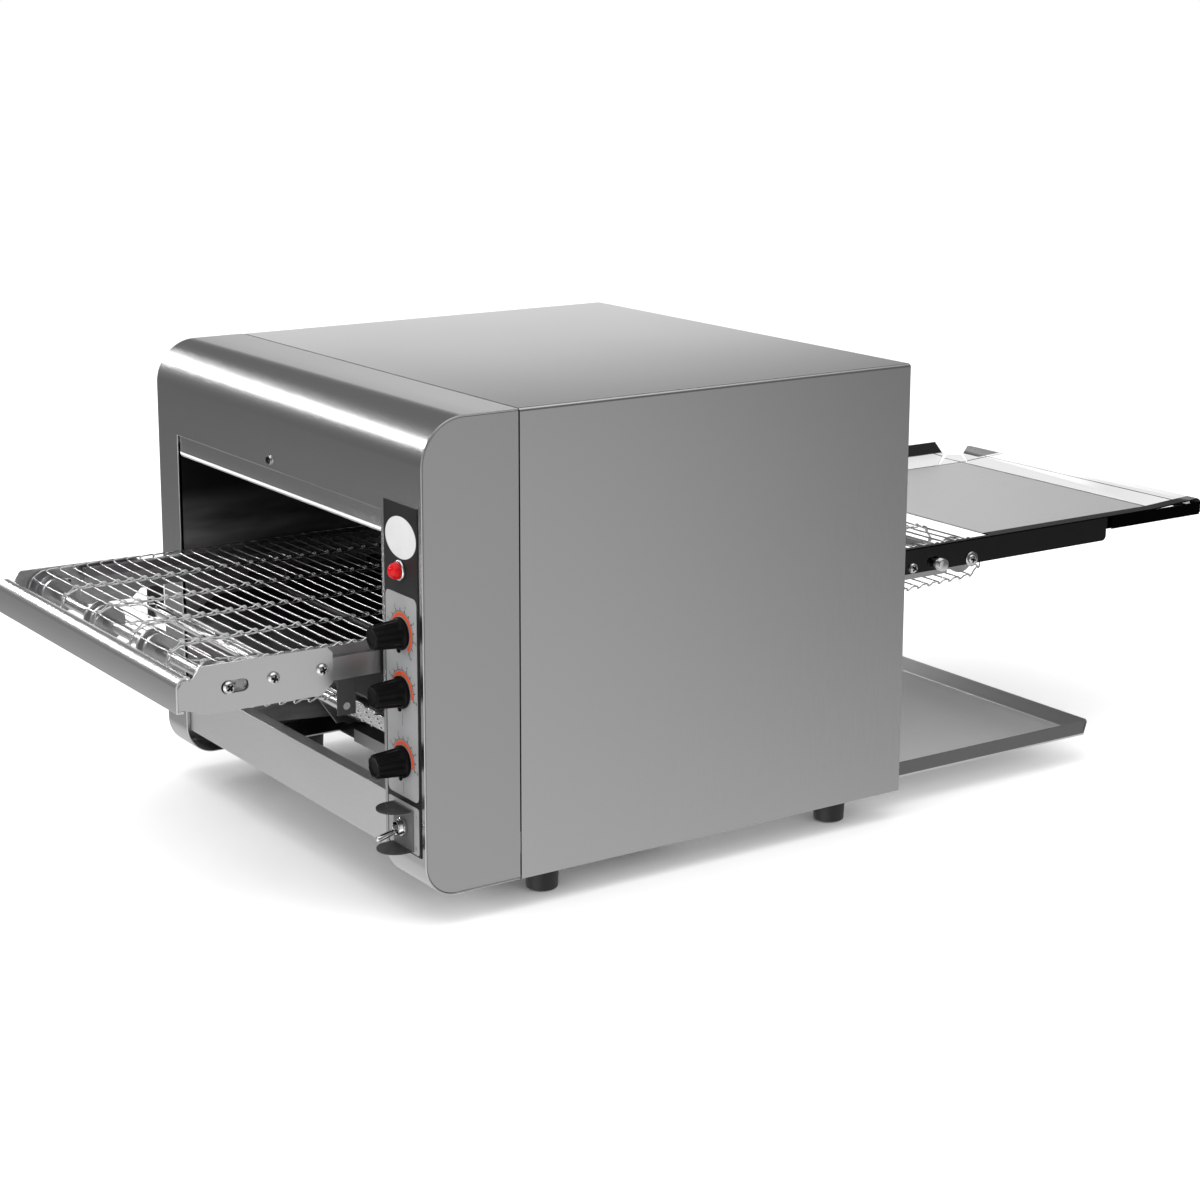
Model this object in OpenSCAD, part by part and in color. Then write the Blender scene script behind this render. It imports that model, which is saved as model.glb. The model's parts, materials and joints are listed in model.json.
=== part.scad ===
// Countertop conveyor oven: a belt of flat-flex wire runs through a heated tunnel in a sheet steel casing.
// Every module works in the casing's own frame: x is 0 at the casing's middle and grows to the control
// side, y is 0 at the front face and grows to the rear, z is 0 at the casing's underside.
// place() then sets the oven on the floor, with y = 0 at the middle of its whole length.

/* [Casing] */
// Width of the casing
body_w = 474; // [460:1:500]
// Height of the casing, without the feet
body_h = 380; // [376:1:420]
// Depth of the casing
body_d = 481; // [470:1:560]
// Depth of the front hood, up to the seam
hood_d = 87; // [80:1:94]
// Outer radius of the hood's top bend
hood_top_r = 38; // [30:1:45]
// Outer radius of the hood's bottom bend
hood_bottom_r = 28; // [20:1:34]
// Thickness of the hood's skin
skin_t = 1.5; // [1:0.1:2]
// Thickness of the wrap cover, the panels and the inner walls
sheet_t = 1.2; // [0.8:0.1:1.5]
// Gap at the seam between hood and wrap cover
seam_gap = 0.6; // [0.3:0.1:1.5]
// Width of the control post, right of the opening
right_post_w = 58.4; // [57:0.2:62]
// Width of the post left of the opening
left_post_w = 40; // [34:1:46]
// Width of the hood's edge that stands in front of the tunnel's right side
post_edge = 4.5; // [3:0.5:6]
// Distance of the front opening's top edge below the casing's top
opening_drop = 80; // [74:1:84]

/* [Cross bar and base] */
// Height of the cross bar's lower edge above the underside
bar_low = 25; // [15:1:32]
// Height of the cross bar
bar_h = 46; // [36:1:52]
// Depth of the cross bar's flanges
bar_flange = 12; // [8:1:16]
// Height of the rubber feet
foot_h = 25; // [20:1:32]
// Top diameter of a foot
foot_d = 28.5; // [24:0.5:32]
// Distance of the feet from the casing's sides
foot_inset = 33; // [24:1:38]
// Distance of the front feet from the front face
foot_front = 128; // [110:1:150]
// Distance of the rear feet from the rear
foot_rear = 52; // [30:1:80]
// Width of the base rails
base_rail_w = 47; // [42:1:52]
// Height of the base rails' upright leg
base_rail_h = 40; // [25:1:60]

/* [Height flaps] */
// Distance that a flap hangs below the opening's top edge
flap_drop = 20; // [14:1:26]
// Distance that a flap reaches above the opening's top edge
flap_over = 45; // [38:1:48]
// Thickness of a flap
flap_t = 1; // [0.8:0.1:1.2]
// Depth of a flap's lower lip
flap_lip = 10; // [6:1:12]
// Width of the slot round the clamp screw
flap_slot_w = 7; // [6:0.5:10]
// Height of the clamp screw above the opening's top edge
clamp_up = 8; // [7:0.5:10]
// Place of the clamp screws, left of the middle
clamp_x = -14; // [-40:1:20]

/* [Belt] */
// Distance of the wire belt from the tunnel's sides
belt_side = 10.8; // [9:0.1:14]
// Diameter of the belt's wire
wire_d = 2; // [1.6:0.1:2.4]
// Height of the top run's wire centres above the underside
belt_z = 196; // [192:1:200]
// Distance from one cross wire to the next
wire_pitch = 16; // [14:0.5:24]
// Distance between the cross wires of the lower stretches
return_pitch = 75; // [60:1:110]
// Number of link rows across the belt
link_rows = 6; // [4:1:8]
// Radius of the belt's wire centres round the nose and tail
wrap_r = 17.5; // [16.5:0.5:18.5]
// Distance of the nose axis in front of the casing
nose_reach = 132; // [120:1:150]
// Distance of the tail axis behind the casing
tail_reach = 137; // [125:1:160]
// Gap between the belt and what carries it
belt_gap = 0.3; // [0.2:0.05:0.5]
// Gap between the belt and what turns in its bends
roller_gap = 1; // [0.8:0.1:1.5]

/* [Conveyor frame] */
// Height of the side rails
rail_h = 18.3; // [16:0.1:20]
// Thickness of the side rails
rail_t = 4; // [3:0.5:5]
// Width of the ledge that carries a wear strip
rail_ledge = 12; // [11:0.5:14]
// Width of a wear strip
strip_w = 8; // [6:0.5:9]
// Height of a wear strip
strip_h = 7.8; // [6:0.1:9]
// Thickness of the infeed and outfeed side plates
plate_t = 2; // [1.5:0.1:2.5]
// Distance of the infeed fascia's face from the casing
infeed_reach = 175; // [168:1:195]
// Diameter of the nose and tail shafts
shaft_d = 10; // [8:0.5:12]
// Width of one nose or tail roller
roller_w = 16; // [10:1:20]
// Number of nose or tail rollers
roller_count = 4; // [3:1:5]
// Diameter of the return rollers
return_d = 10; // [8:0.5:12]
// Diameter of the return rollers' journals
journal_d = 6; // [5:0.5:6]
// Distance of the belt's bend over the front return roller in front of the casing
front_return = 28; // [24:1:32]
// Height of the belt's wires over the front return roller
front_return_z = 153; // [150:1:156]
// Height of the belt's wires over the rear return roller
rear_return_z = 156; // [152:1:158]

/* [Drive] */
// Diameter of the drive shaft
drive_d = 12; // [10:0.5:12]
// Distance of the drive shaft from the front face
drive_y = 178; // [170:1:186]
// Height of the drive shaft above the underside
drive_z = 23; // [21:1:26]
// Radius of the belt's wire centres under the drive sprockets
drive_r = 15; // [14:0.5:16]
// Teeth of a drive sprocket
sprocket_teeth = 8; // [6:1:10]
// Width of a drive sprocket
sprocket_w = 6; // [4:0.5:8]
// Width of the gearbox along the oven
gearbox_w = 76; // [60:1:84]
// Height of the gearbox
gearbox_h = 90; // [76:1:110]
// Thickness of the gearbox
gearbox_t = 28; // [24:1:30]
// Diameter of the motor
motor_d = 60; // [46:1:64]

/* [Outfeed] */
// Distance from the casing to the end of the outfeed side plates
outfeed_plate = 309; // [300:1:320]
// Distance from the casing to the outfeed shelf's end
outfeed_reach = 434; // [420:1:460]
// Distance that the shelf's flat floor is narrower than the belt
shelf_narrow = 80; // [64:1:92]
// Width of the shelf's sloped strip at its far side
shelf_strip_w = 44; // [36:1:50]
// Width of the shelf's upturned edge
shelf_up_w = 12; // [8:1:16]
// Height of the shelf's upturned edge
shelf_up_h = 10; // [6:1:14]
// Length of the shelf's first sloped strip at its end
shelf_end_1 = 37; // [30:1:44]
// Length of the shelf's second sloped strip at its end
shelf_end_2 = 27; // [22:1:34]
// Height of the shelf's side flange
shelf_flange = 12; // [8:1:16]

/* [Landing tray] */
// Distance of the landing tray from the casing's sides
tray_side = 23; // [20:1:27]
// Distance of the tray's rear crease behind the casing
tray_reach = 248; // [220:1:280]
// Distance of the tray's front edge behind the drive shaft
tray_behind_drive = 84; // [80:1:100]
// Height of the tray's side walls
tray_wall = 14; // [10:1:15]
// Distance that the tray's rear wall leans out
tray_lean = 5; // [2:0.5:8]

/* [Heat] */
// Diameter of the heater tubes
heater_d = 8; // [6.5:0.5:8.5]
// Number of heaters above and below the belt
heater_count = 4; // [3:1:4]
// Height of the lower heaters above the underside
lower_heater_z = 162; // [160:0.5:163]
// Height of the lower reflector above the underside
lower_reflector_z = 150; // [148:0.5:151]
// Thickness of the insulation above the tunnel
insulation_t = 30; // [15:1:36]

/* [Controls] */
// Distance of the controls from the right side
control_in = 31.5; // [28:0.5:32]
// Width of the control label
label_w = 51; // [48:1:52]
// Lower edge of the control label above the underside
label_low = 33; // [31:0.5:34]
// Upper edge of the control label above the underside
label_high = 310.5; // [300:0.5:330]
// Thickness of the control label
label_t = 0.8; // [0.4:0.1:1]
// Height of the pilot lamp
lamp_z = 258.5; // [252:0.5:266]
// Height of the speed dial
dial_speed_z = 208.5; // [204:0.5:216]
// Height of the top heat dial
dial_top_z = 161.5; // [157:0.5:168]
// Height of the bottom heat dial
dial_bottom_z = 105.5; // [100:0.5:114]
// Height of the power switch
toggle_z = 52.5; // [51.5:0.5:54]
// Base diameter of a knob
knob_d = 26; // [22:0.5:30]
// Tip diameter of a knob
knob_tip_d = 19.5; // [16:0.5:20]
// Length of a knob
knob_l = 26; // [18:0.5:28]
// Number of grooves round a knob
knob_flutes = 8; // [6:1:12]
// Diameter of a knob's spindle
spindle_d = 6; // [5:0.5:6.5]
// Width of the switch guard
guard_w = 30; // [28:1:32]
// Height of the switch guard
guard_h = 34; // [32:1:36]
// Distance that the guard's wings stick out
guard_out = 22; // [16:1:26]
// Length of the switch lever
lever_l = 28; // [24:0.5:30]
// Angle of the switch lever below level
lever_tilt = 14; // [12:0.5:15]

/* [Services] */
// Width of the cooling fan
fan_w = 50; // [40:1:52]
// Thickness of the cooling fan
fan_t = 15; // [10:1:20]
// Number of fan blades
fan_blades = 7; // [5:1:9]
// Height of the fan above the underside
fan_z = 200; // [185:1:215]
// Inner diameter of the cord gland
gland_bore = 8; // [6:0.5:9]
// Height of the cord gland above the underside
gland_z = 60; // [45:1:80]

/* [Hidden] */

steel = "#a9abad";
dark_steel = "#77797c";
bright_steel = "#c9cbcd";
black = "#1b1b1c";

fit = 0.1;                // gap between pieces that are fastened to each other
run_gap = 0.05;           // radial clearance of a shaft in its bore
thread_d = 12;            // thread of the lamp, the switch and the cord gland
eps = 0.01;
half_w = body_w / 2;
opening_h = body_h - opening_drop;
infeed_y = -infeed_reach;
end_y = body_d + outfeed_reach;
mid_y = (infeed_y + end_y) / 2;

left_x = -half_w + left_post_w;
right_x = half_w - right_post_w;
tunnel_x = (left_x + right_x) / 2;
tunnel_w = right_x - left_x;
belt_w = tunnel_w - 2 * belt_side;
wall_in = half_w - sheet_t;          // inner face of the casing's sides
wall_y0 = skin_t + 2.1;              // front edge of the chamber walls
panel_y = body_d - sheet_t - 0.3;    // inner face of the rear panel
wall_y1 = panel_y - 2.5;             // rear edge of the chamber walls
tray_hood = 18;                      // height left free for the tray under the chamber walls

flap_low = opening_h - flap_drop;
flap_high = opening_h + flap_over;
clamp_z = opening_h + clamp_up;

frame_half = belt_w / 2 + 2.2;       // from the belt's middle to the rails' outer faces
rail_top = belt_z - wire_d / 2 - belt_gap - strip_h;
rail_low = rail_top - rail_h;
rail_y0 = -nose_reach + wrap_r + 13.5;
tail_y = body_d + tail_reach;
rail_y1 = tail_y - wrap_r - 10;
wrap_z = belt_z - wrap_r;            // height of the nose and tail axes
hanger_t = 1.6;
hanger_low = 7;                      // material below a return roller's journal
roller_r = wrap_r - wire_d / 2 - roller_gap;
sprocket_r = drive_r - wire_d / 2 - roller_gap;

plate_top = belt_z + wire_d / 2;
screw_z = rail_low + rail_h * 0.6;
screw_d = 4;
head_h = 3.4;                        // height of a screw's head
screw_y = [37.8 - nose_reach, 79.5 - nose_reach];    // screws that hold an infeed plate to its rail
outfeed_screw_y = [body_d + 66, body_d + 96];        // screws that hold an outfeed plate to its rail
shelf_floor_w = belt_w - shelf_narrow;
shelf_y = tail_y + wrap_r + wire_d / 2 + 4;
shelf_x = tunnel_x + frame_half + plate_t + 3;
shelf_t = 1.2;
crease_1 = end_y - shelf_end_1 - shelf_end_2;
crease_2 = end_y - shelf_end_2;

tray_z = sheet_t + 0.6;
tray_t = 1;
tray_w = body_w - 2 * tray_side;
tray_y0 = drive_y + tray_behind_drive;
tray_y1 = body_d + tray_reach;

control_x = half_w - control_in;
dial_z = [dial_speed_z, dial_top_z, dial_bottom_z];
toggle_pivot = skin_t - 0.5;
bush_d = 9;
bezel_h = 2.8;                       // height of the lamp's bezel
upper_heater_z = opening_h + 6;
upper_reflector_z = upper_heater_z + 12;
service_x = (right_x + sheet_t + wall_in) / 2;

$fa = 6;
$fs = 0.6;

// Corner where a bent sheet's inner face turns, from the normals of the two legs beside it
function leg_normal(a, b) = let (d = b - a) [-d.y, d.x] / norm(d);
function corner(p, i) =
    let (n = len(p), a = leg_normal(p[max(i - 1, 0)], p[max(i, 1)]),
         b = leg_normal(p[min(i, n - 2)], p[min(i + 1, n - 1)]))
    (a + b) / (1 + a * b);
function arc(c, r, a0, a1, n) = [for (i = [0:n]) let (a = a0 + (a1 - a0) * i / n) c + r * [cos(a), sin(a)]];
// Where a line from p touches the circle round c, on the side that s picks
function touch(p, c, r, s) =
    let (d = norm(c - p), a = atan2(c.y - p.y, c.x - p.x) + s * asin(r / d))
    p + sqrt(d * d - r * r) * [cos(a), sin(a)];

// Centre of a rod under the bend b of the belt, at distance d from both of its stretches a-b and b-c
function under_bend(a, b, c, d) =
    let (u = (a - b) / norm(a - b), w = u + (c - b) / norm(c - b))
    b + w * d / abs(cross(u, w));

// Corners of the belt's side view, and the two return rollers that carry it
nose_c = [-nose_reach, wrap_z];
tail_c = [tail_y, wrap_z];
drive_c = [drive_y, drive_z];
front_bend = [-front_return, front_return_z];
rear_bend = [body_d - 3, rear_return_z];
drive_in = touch(front_bend, drive_c, drive_r, -1);
drive_out = touch(rear_bend, drive_c, drive_r, 1);
rod_reach = wire_d / 2 + roller_gap + return_d / 2;
front_rod = under_bend(nose_c - [0, wrap_r], front_bend, drive_in, rod_reach);
rear_rod = under_bend(drive_out, rear_bend, tail_c - [0, wrap_r], rod_reach);

module place() { translate([0, -mid_y, foot_h]) children(); }

// A sheet t thick along the line p, grown to the left of its direction
module bent_sheet(p, t) {
    polygon(concat(p, [for (i = [len(p) - 1:-1:0]) p[i] + t * corner(p, i)]));
}

// A profile drawn in y and z, extruded along x
module along_x(x0, x1) { translate([x0, 0, 0]) rotate([90, 0, 90]) linear_extrude(x1 - x0) children(); }

// A profile drawn in x and z, extruded along y
module along_y(y0, y1) { translate([0, y1, 0]) rotate([90, 0, 0]) linear_extrude(y1 - y0) children(); }

module block(x, y, z) { translate([x[0], y[0], z[0]]) cube([x[1] - x[0], y[1] - y[0], z[1] - z[0]]); }
module rod_x(x, y, z, d) { translate([x[0], y, z]) rotate([0, 90, 0]) cylinder(d = d, h = x[1] - x[0]); }
module rod_y(x, y, z, d) { translate([x, y[1], z]) rotate([90, 0, 0]) cylinder(d = d, h = y[1] - y[0]); }

// Left and right pieces are mirror images about the tunnel's middle or the casing's middle
module in_tunnel(side) { translate([tunnel_x, 0, 0]) scale_side(side) children(); }
module scale_side(side) { if (side < 0) mirror([1, 0, 0]) children(); else children(); }

// Side view of the hood, set in by g all round but not at the seam
module hood_outline(g) {
    inner = hood_d + (g > 0 ? 1 : 0);
    translate([hood_top_r, g]) square([inner - hood_top_r, body_h - 2 * g]);
    translate([g, hood_bottom_r]) square([hood_top_r - g + eps, body_h - hood_top_r - hood_bottom_r]);
    translate([hood_bottom_r, g]) square([hood_top_r - hood_bottom_r + eps, hood_bottom_r]);
    translate([hood_top_r, body_h - hood_top_r]) circle(hood_top_r - g);
    translate([hood_bottom_r, hood_bottom_r]) circle(hood_bottom_r - g);
}

module hood_skin() {
    color(steel) place() difference() {
        along_x(-half_w, half_w) difference() {
            hood_outline(0);
            hood_outline(skin_t);
        }
        block([left_x, right_x - post_edge], [-1, hood_d + 1], [-1, opening_h]);
        for (z = dial_z) rod_y(control_x, [-1, skin_t + 1], z, bush_d + 2 * fit);
        rod_y(control_x, [-1, skin_t + 1], lamp_z, thread_d + 2 * fit);
        rod_y(control_x, [-1, skin_t + 1], toggle_z, thread_d + 2 * fit);
        rod_y(clamp_x, [-1, skin_t + 1], clamp_z, screw_d + 0.4);
    }
}

module hood_cheek(side) {
    color(steel) place() scale_side(side)
        along_x(half_w - 0.4 - skin_t, half_w - 0.4) intersection() {
            hood_outline(skin_t + fit);
            square([hood_d, body_h]);
        }
}
module hood_cheek_left() { hood_cheek(-1); }
module hood_cheek_right() { hood_cheek(1); }

// Casing outline with small top corner bends, set in by g
module cover_outline(g) {
    r = 3;
    translate([-half_w + g, -g]) square([body_w - 2 * g, body_h - r + g]);
    translate([-half_w + r, body_h - r - eps]) square([body_w - 2 * r, r - g + eps]);
    for (s = [-1, 1]) translate([s * (half_w - r), body_h - r]) circle(r - g);
}

module wrap_cover() {
    color(steel) place() along_y(hood_d + seam_gap, body_d) difference() {
        cover_outline(0);
        cover_outline(sheet_t);
    }
}

module rear_panel() {
    vent_n = 6;
    vent_w = 36;
    vent_h = 4;
    color(dark_steel) place() difference() {
        along_y(panel_y, panel_y + sheet_t) difference() {
            translate([-wall_in + fit, 0]) square([2 * (wall_in - fit), body_h - 3 - sheet_t]);
            translate([left_x, 120]) square([tunnel_w, opening_h - 120]);
            translate([-tray_w / 2 - 3, -1]) square([tray_w + 6, tray_z + tray_wall + 16]);
            for (i = [0:vent_n - 1])
                translate([service_x - vent_w / 2, fan_z + (2 * i - vent_n + 1) * vent_h - vent_h / 2])
                    square([vent_w, vent_h]);
        }
        rod_y(service_x, [panel_y - 1, body_d + 1], gland_z, thread_d + 2 * fit);
        rod_y(clamp_x, [panel_y - 1, body_d + 1], clamp_z, screw_d + 0.4);
    }
}

module lower_cross_bar() {
    color(bright_steel) place() along_x(left_x + fit, right_x - fit)
        bent_sheet([[wall_y0 + bar_flange, bar_low], [wall_y0, bar_low], [wall_y0, bar_low + bar_h],
            [wall_y0 + bar_flange, bar_low + bar_h]], -sheet_t);
}

module base_rail(side) {
    color(dark_steel) place() scale_side(side) along_y(hood_d + 3, panel_y - fit)
        bent_sheet([[wall_in - base_rail_w, 0], [wall_in - fit, 0], [wall_in - fit, base_rail_h]], sheet_t);
}
module base_rail_left() { base_rail(-1); }
module base_rail_right() { base_rail(1); }

// A tapered rubber foot with a recessed screw head
module foot(side, y) {
    recess_d = 12;
    recess_h = 8;
    color(black) translate([side * (half_w - foot_inset), y - mid_y, 0]) difference() {
        rotate_extrude() polygon([[0, 0], [foot_d / 2 - 2, 0], [foot_d / 2 - 1, 1],
            [foot_d / 2, foot_h - 2], [foot_d / 2 - 0.6, foot_h], [0, foot_h]]);
        translate([0, 0, -1]) cylinder(d = recess_d, h = recess_h + 1);
    }
}
module foot_front_left() { foot(-1, foot_front); }
module foot_front_right() { foot(1, foot_front); }
module foot_rear_left() { foot(-1, body_d - foot_rear); }
module foot_rear_right() { foot(1, body_d - foot_rear); }

// The flap stands behind the posts; its folded lip fits between the chamber walls
module flap() {
    r = flap_lip / 2;
    difference() {
        union() {
            block([left_x - 6, right_x + 6], [0, flap_t], [flap_low + r, flap_high]);
            along_x(left_x + 1, right_x - 1) bent_sheet(concat([[0, flap_low + r + eps]],
                arc([r, flap_low + r], r, 180, 360, 16), [[flap_lip, flap_low + r + 2]]), flap_t);
        }
        block([clamp_x - flap_slot_w / 2, clamp_x + flap_slot_w / 2], [-1, flap_t + 1],
            [clamp_z - screw_d / 2 - 1, flap_high + 1]);
        for (x = [left_x - 7, right_x - 2.5])
            block([x, x + 9.5], [-1, flap_t + 1], [flap_low - 1, flap_low + 13]);
    }
}

module front_flap() { color(steel) place() translate([0, skin_t + 0.5, 0]) flap(); }
module rear_flap() { color(steel) place() translate([0, panel_y - 0.5, 0]) mirror([0, 1, 0]) flap(); }

// y places of the heaters, spread evenly along the tunnel
heater_y = [for (i = [0:heater_count - 1]) wall_y0 + 67 + (wall_y1 - wall_y0 - 110) * i / (heater_count - 1)];

module chamber_wall(side) {
    x = side < 0 ? [left_x - sheet_t, left_x] : [right_x, right_x + sheet_t];
    step_y = tray_y0 - 34;
    through = [x[0] - 1, x[1] + 1];
    color(dark_steel) place() difference() {
        along_x(x[0], x[1]) polygon([[wall_y0, bar_low], [step_y, bar_low - 18], [step_y, tray_hood + 8],
            [wall_y1, tray_hood + 8], [wall_y1, upper_reflector_z + sheet_t + insulation_t],
            [wall_y0 + 14, upper_reflector_z + sheet_t + insulation_t], [wall_y0, flap_high - 10]]);
        for (y = heater_y, z = [lower_heater_z, upper_heater_z]) rod_x(through, y, z, heater_d + 1);
        if (side > 0) rod_x(through, drive_y, drive_z, drive_d + 4);
    }
}
module chamber_wall_left() { chamber_wall(-1); }
module chamber_wall_right() { chamber_wall(1); }

module upper_reflector() {
    edge_z = upper_reflector_z - 6;
    color(bright_steel) place() along_y(wall_y0 + 16, wall_y1 - 14)
        bent_sheet([[left_x + fit, edge_z], [left_x + fit, upper_reflector_z],
            [right_x - fit, upper_reflector_z], [right_x - fit, edge_z]], -sheet_t);
}

// The lower reflector's front lip slopes down, just above the belt
module lower_reflector() {
    lip_y = 8;
    lip_l = 22;
    lip_drop = 13;
    rear_gap = 43;
    color(bright_steel) place() in_tunnel(1) along_x(-frame_half + fit, frame_half - fit)
        bent_sheet([[lip_y, lower_reflector_z - lip_drop], [lip_y + lip_l, lower_reflector_z],
            [body_d - rear_gap, lower_reflector_z]], sheet_t);
}

module insulation_blanket() {
    color("#d8d2b8") place() block([left_x + 1, right_x - 1], [wall_y0 + 18, wall_y1 - 16],
        [upper_reflector_z + fit, upper_reflector_z + fit + insulation_t - 1]);
}

module heaters(z) {
    cap = 7;
    color("#4a4644") place() for (y = heater_y) {
        rod_x([left_x - cap, right_x + cap], y, z, heater_d);
    }
}
module upper_heaters() { heaters(upper_heater_z); }
module lower_heaters() { heaters(lower_heater_z); }

// A hanger with a true hole for a return roller's journal
module hanger(c) {
    half = 8;
    difference() {
        block([frame_half - hanger_t, frame_half], [c.x - half, c.x + half],
            [c.y - hanger_low, rail_low + 4]);
        rod_x([frame_half - hanger_t - 1, frame_half + 1], c.x, c.y, journal_d + 2 * run_gap);
    }
}

module rail(side) {
    boss = tunnel_w / 2 - frame_half;
    color(steel) place() in_tunnel(side) {
        block([frame_half - rail_t, frame_half], [rail_y0, rail_y1], [rail_low, rail_top]);
        block([frame_half - rail_ledge, frame_half - rail_t + eps], [rail_y0, rail_y1],
            [rail_top - 3, rail_top]);
        for (y = [50, body_d - 61])
            rod_x([frame_half - eps, frame_half + boss - fit / 2], y, (rail_low + rail_top) / 2, 12);
        hanger(front_rod);
        hanger(rear_rod);
    }
}
module rail_left() { rail(-1); }
module rail_right() { rail(1); }

module wear_strips() {
    color(dark_steel) place() for (s = [-1, 1]) in_tunnel(s)
        block([frame_half - rail_ledge, frame_half - rail_ledge + strip_w], [rail_y0 + 1, rail_y1 - 2],
            [rail_top, rail_top + strip_h]);
}

module infeed_plate(side) {
    slot_w = 10;
    slot_y = [-nose_reach - 1, -nose_reach + 12];
    top = plate_top + 1;
    low = belt_z - 36;
    front = infeed_y + 1.7;
    color(bright_steel) place() difference() {
        in_tunnel(side) along_x(frame_half, frame_half + plate_t)
            polygon([[front, low + 6], [front, top - 14.5], [front + 4, top - 9.5], [front + 9, top - 10],
                [front + 13, top - 8], [front + 18, top], [-48, top - 1], [-43, top - 6], [-43, low + 8],
                [-53, low - 1], [front + 23, low], [front + 5, low + 6]]);
        for (y = screw_y) rod_x([-half_w, half_w], y, screw_z, screw_d + 0.4);
        for (y = slot_y) rod_x([-half_w, half_w], y, wrap_z, slot_w);
        block([-half_w, half_w], slot_y, [wrap_z - slot_w / 2, wrap_z + slot_w / 2]);
    }
}
module infeed_plate_left() { infeed_plate(-1); }
module infeed_plate_right() { infeed_plate(1); }

module infeed_fascia() {
    t = 1.5;
    r = 8;
    top = belt_z - 4;
    low = belt_z - 32;
    color(bright_steel) place() along_x(tunnel_x - frame_half - plate_t - t, tunnel_x + frame_half + plate_t)
        bent_sheet(concat([[infeed_y + 6, low - 0.5], [infeed_y, low]],
            arc([infeed_y + r, top - r], r, 180, 60, 8)), -t);
}

// Fixed shafts that the nose and tail rollers turn on; their ends are turned down to fit the plates
module idler_shaft(y, end_d) {
    color(bright_steel) place() in_tunnel(1) {
        rod_x([-frame_half + fit, frame_half - fit], y, wrap_z, shaft_d);
        rod_x([-frame_half - plate_t + fit, frame_half + plate_t - fit], y, wrap_z, end_d);
    }
}
module nose_shaft() { idler_shaft(-nose_reach, 6); }
module tail_shaft() { idler_shaft(tail_y, 6); }

module rollers(y) {
    spread = 2 * (frame_half - rail_ledge - roller_w / 2);
    flange_t = 3;
    flange_x = (roller_w - flange_t) / 2;
    color(dark_steel) place() in_tunnel(1) for (i = [0:roller_count - 1]) {
        x = spread * (i / (roller_count - 1) - 0.5);
        difference() {
            union() {
                rod_x([x - roller_w / 2, x + roller_w / 2], y, wrap_z, 2 * roller_r - 6);
                for (c = [x - flange_x, x + flange_x])
                    rod_x([c - flange_t / 2, c + flange_t / 2], y, wrap_z, 2 * roller_r);
            }
            rod_x([x - roller_w, x + roller_w], y, wrap_z, shaft_d + 2 * run_gap);
        }
    }
}
module nose_rollers() { rollers(-nose_reach); }
module tail_rollers() { rollers(tail_y); }

module outfeed_plate(side) {
    low = belt_z - 22;
    start = body_d - 41;
    stop = body_d + outfeed_plate;
    r = 5;
    color(black) place() difference() {
        in_tunnel(side) along_x(frame_half, frame_half + plate_t) difference() {
            translate([start, low]) square([stop - start + 10, plate_top - low]);
            translate([stop, low - 1]) square([11, 11 + 1]);
            translate([stop - r, low - eps]) difference() {
                square([r + eps, r]);
                translate([0, r]) circle(r);
            }
        }
        rod_x([-half_w, half_w], tail_y, wrap_z, 6.2);
        for (y = outfeed_screw_y) rod_x([-half_w, half_w], y, screw_z, screw_d + 0.4);
    }
}
module outfeed_plate_left() { outfeed_plate(-1); }
module outfeed_plate_right() { outfeed_plate(1); }

// The shelf lies on the outfeed plates and ends in strips that rise a little towards its edges
module outfeed_shelf() {
    far_1 = shelf_x - shelf_floor_w;
    far_2 = far_1 - shelf_strip_w;
    mitre = crease_1 - 32;               // where the far strip's mitred end begins
    tab_x = tunnel_x - frame_half - plate_t;
    tab_y = shelf_y + 60;
    rise = 2;
    lip_r = 5;
    color(bright_steel) place() {
        translate([0, 0, plate_top]) linear_extrude(shelf_t) {
            translate([far_1, shelf_y]) square([shelf_floor_w, crease_1 - shelf_y + eps]);
            polygon([[far_1 + eps, mitre], [far_1 - 39, crease_1 + 15], [far_1 - 31, crease_1 + 28],
                [far_1 + 10, crease_1]]);
            translate([tab_x, shelf_y]) square([far_1 - tab_x + eps, tab_y - shelf_y]);
            translate([tunnel_x + frame_half, body_d + 1])
                square([shelf_x - tunnel_x - frame_half, shelf_y - body_d]);
        }
        difference() {
            along_x(far_1 - 52, shelf_x) bent_sheet(concat([[crease_1, plate_top],
                [crease_2, plate_top + rise], [end_y - lip_r, plate_top + rise + 1]],
                arc([end_y - lip_r - 0.3, plate_top + rise - lip_r + 1.6], lip_r - 0.9, 70, 0, 5),
                [[end_y - shelf_t, plate_top - shelf_flange + 2]]), shelf_t);
            translate([0, 0, plate_top - 20]) linear_extrude(40) polygon([[far_1 + 12, crease_1 - 1],
                [far_1 - 30, crease_1 + 30], [far_1 - 53, crease_1 + 57], [far_1 - 53, crease_1 - 1]]);
        }
        difference() {
            along_y(tab_y + 3, crease_1 + 12) bent_sheet([[far_1, plate_top], [far_2, plate_top + rise],
                [far_2 - shelf_up_w, plate_top + rise + shelf_up_h]], -shelf_t);
            translate([0, 0, plate_top - 20]) linear_extrude(40) polygon([[far_1 + 1, mitre - 2],
                [far_2 + 2, crease_1 + 13], [far_1 + 1, crease_1 + 13]]);
        }
        block([shelf_x - shelf_t, shelf_x], [body_d + outfeed_plate + 10.2, end_y - shelf_t],
            [plate_top - shelf_flange, plate_top + eps]);
    }
}

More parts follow.
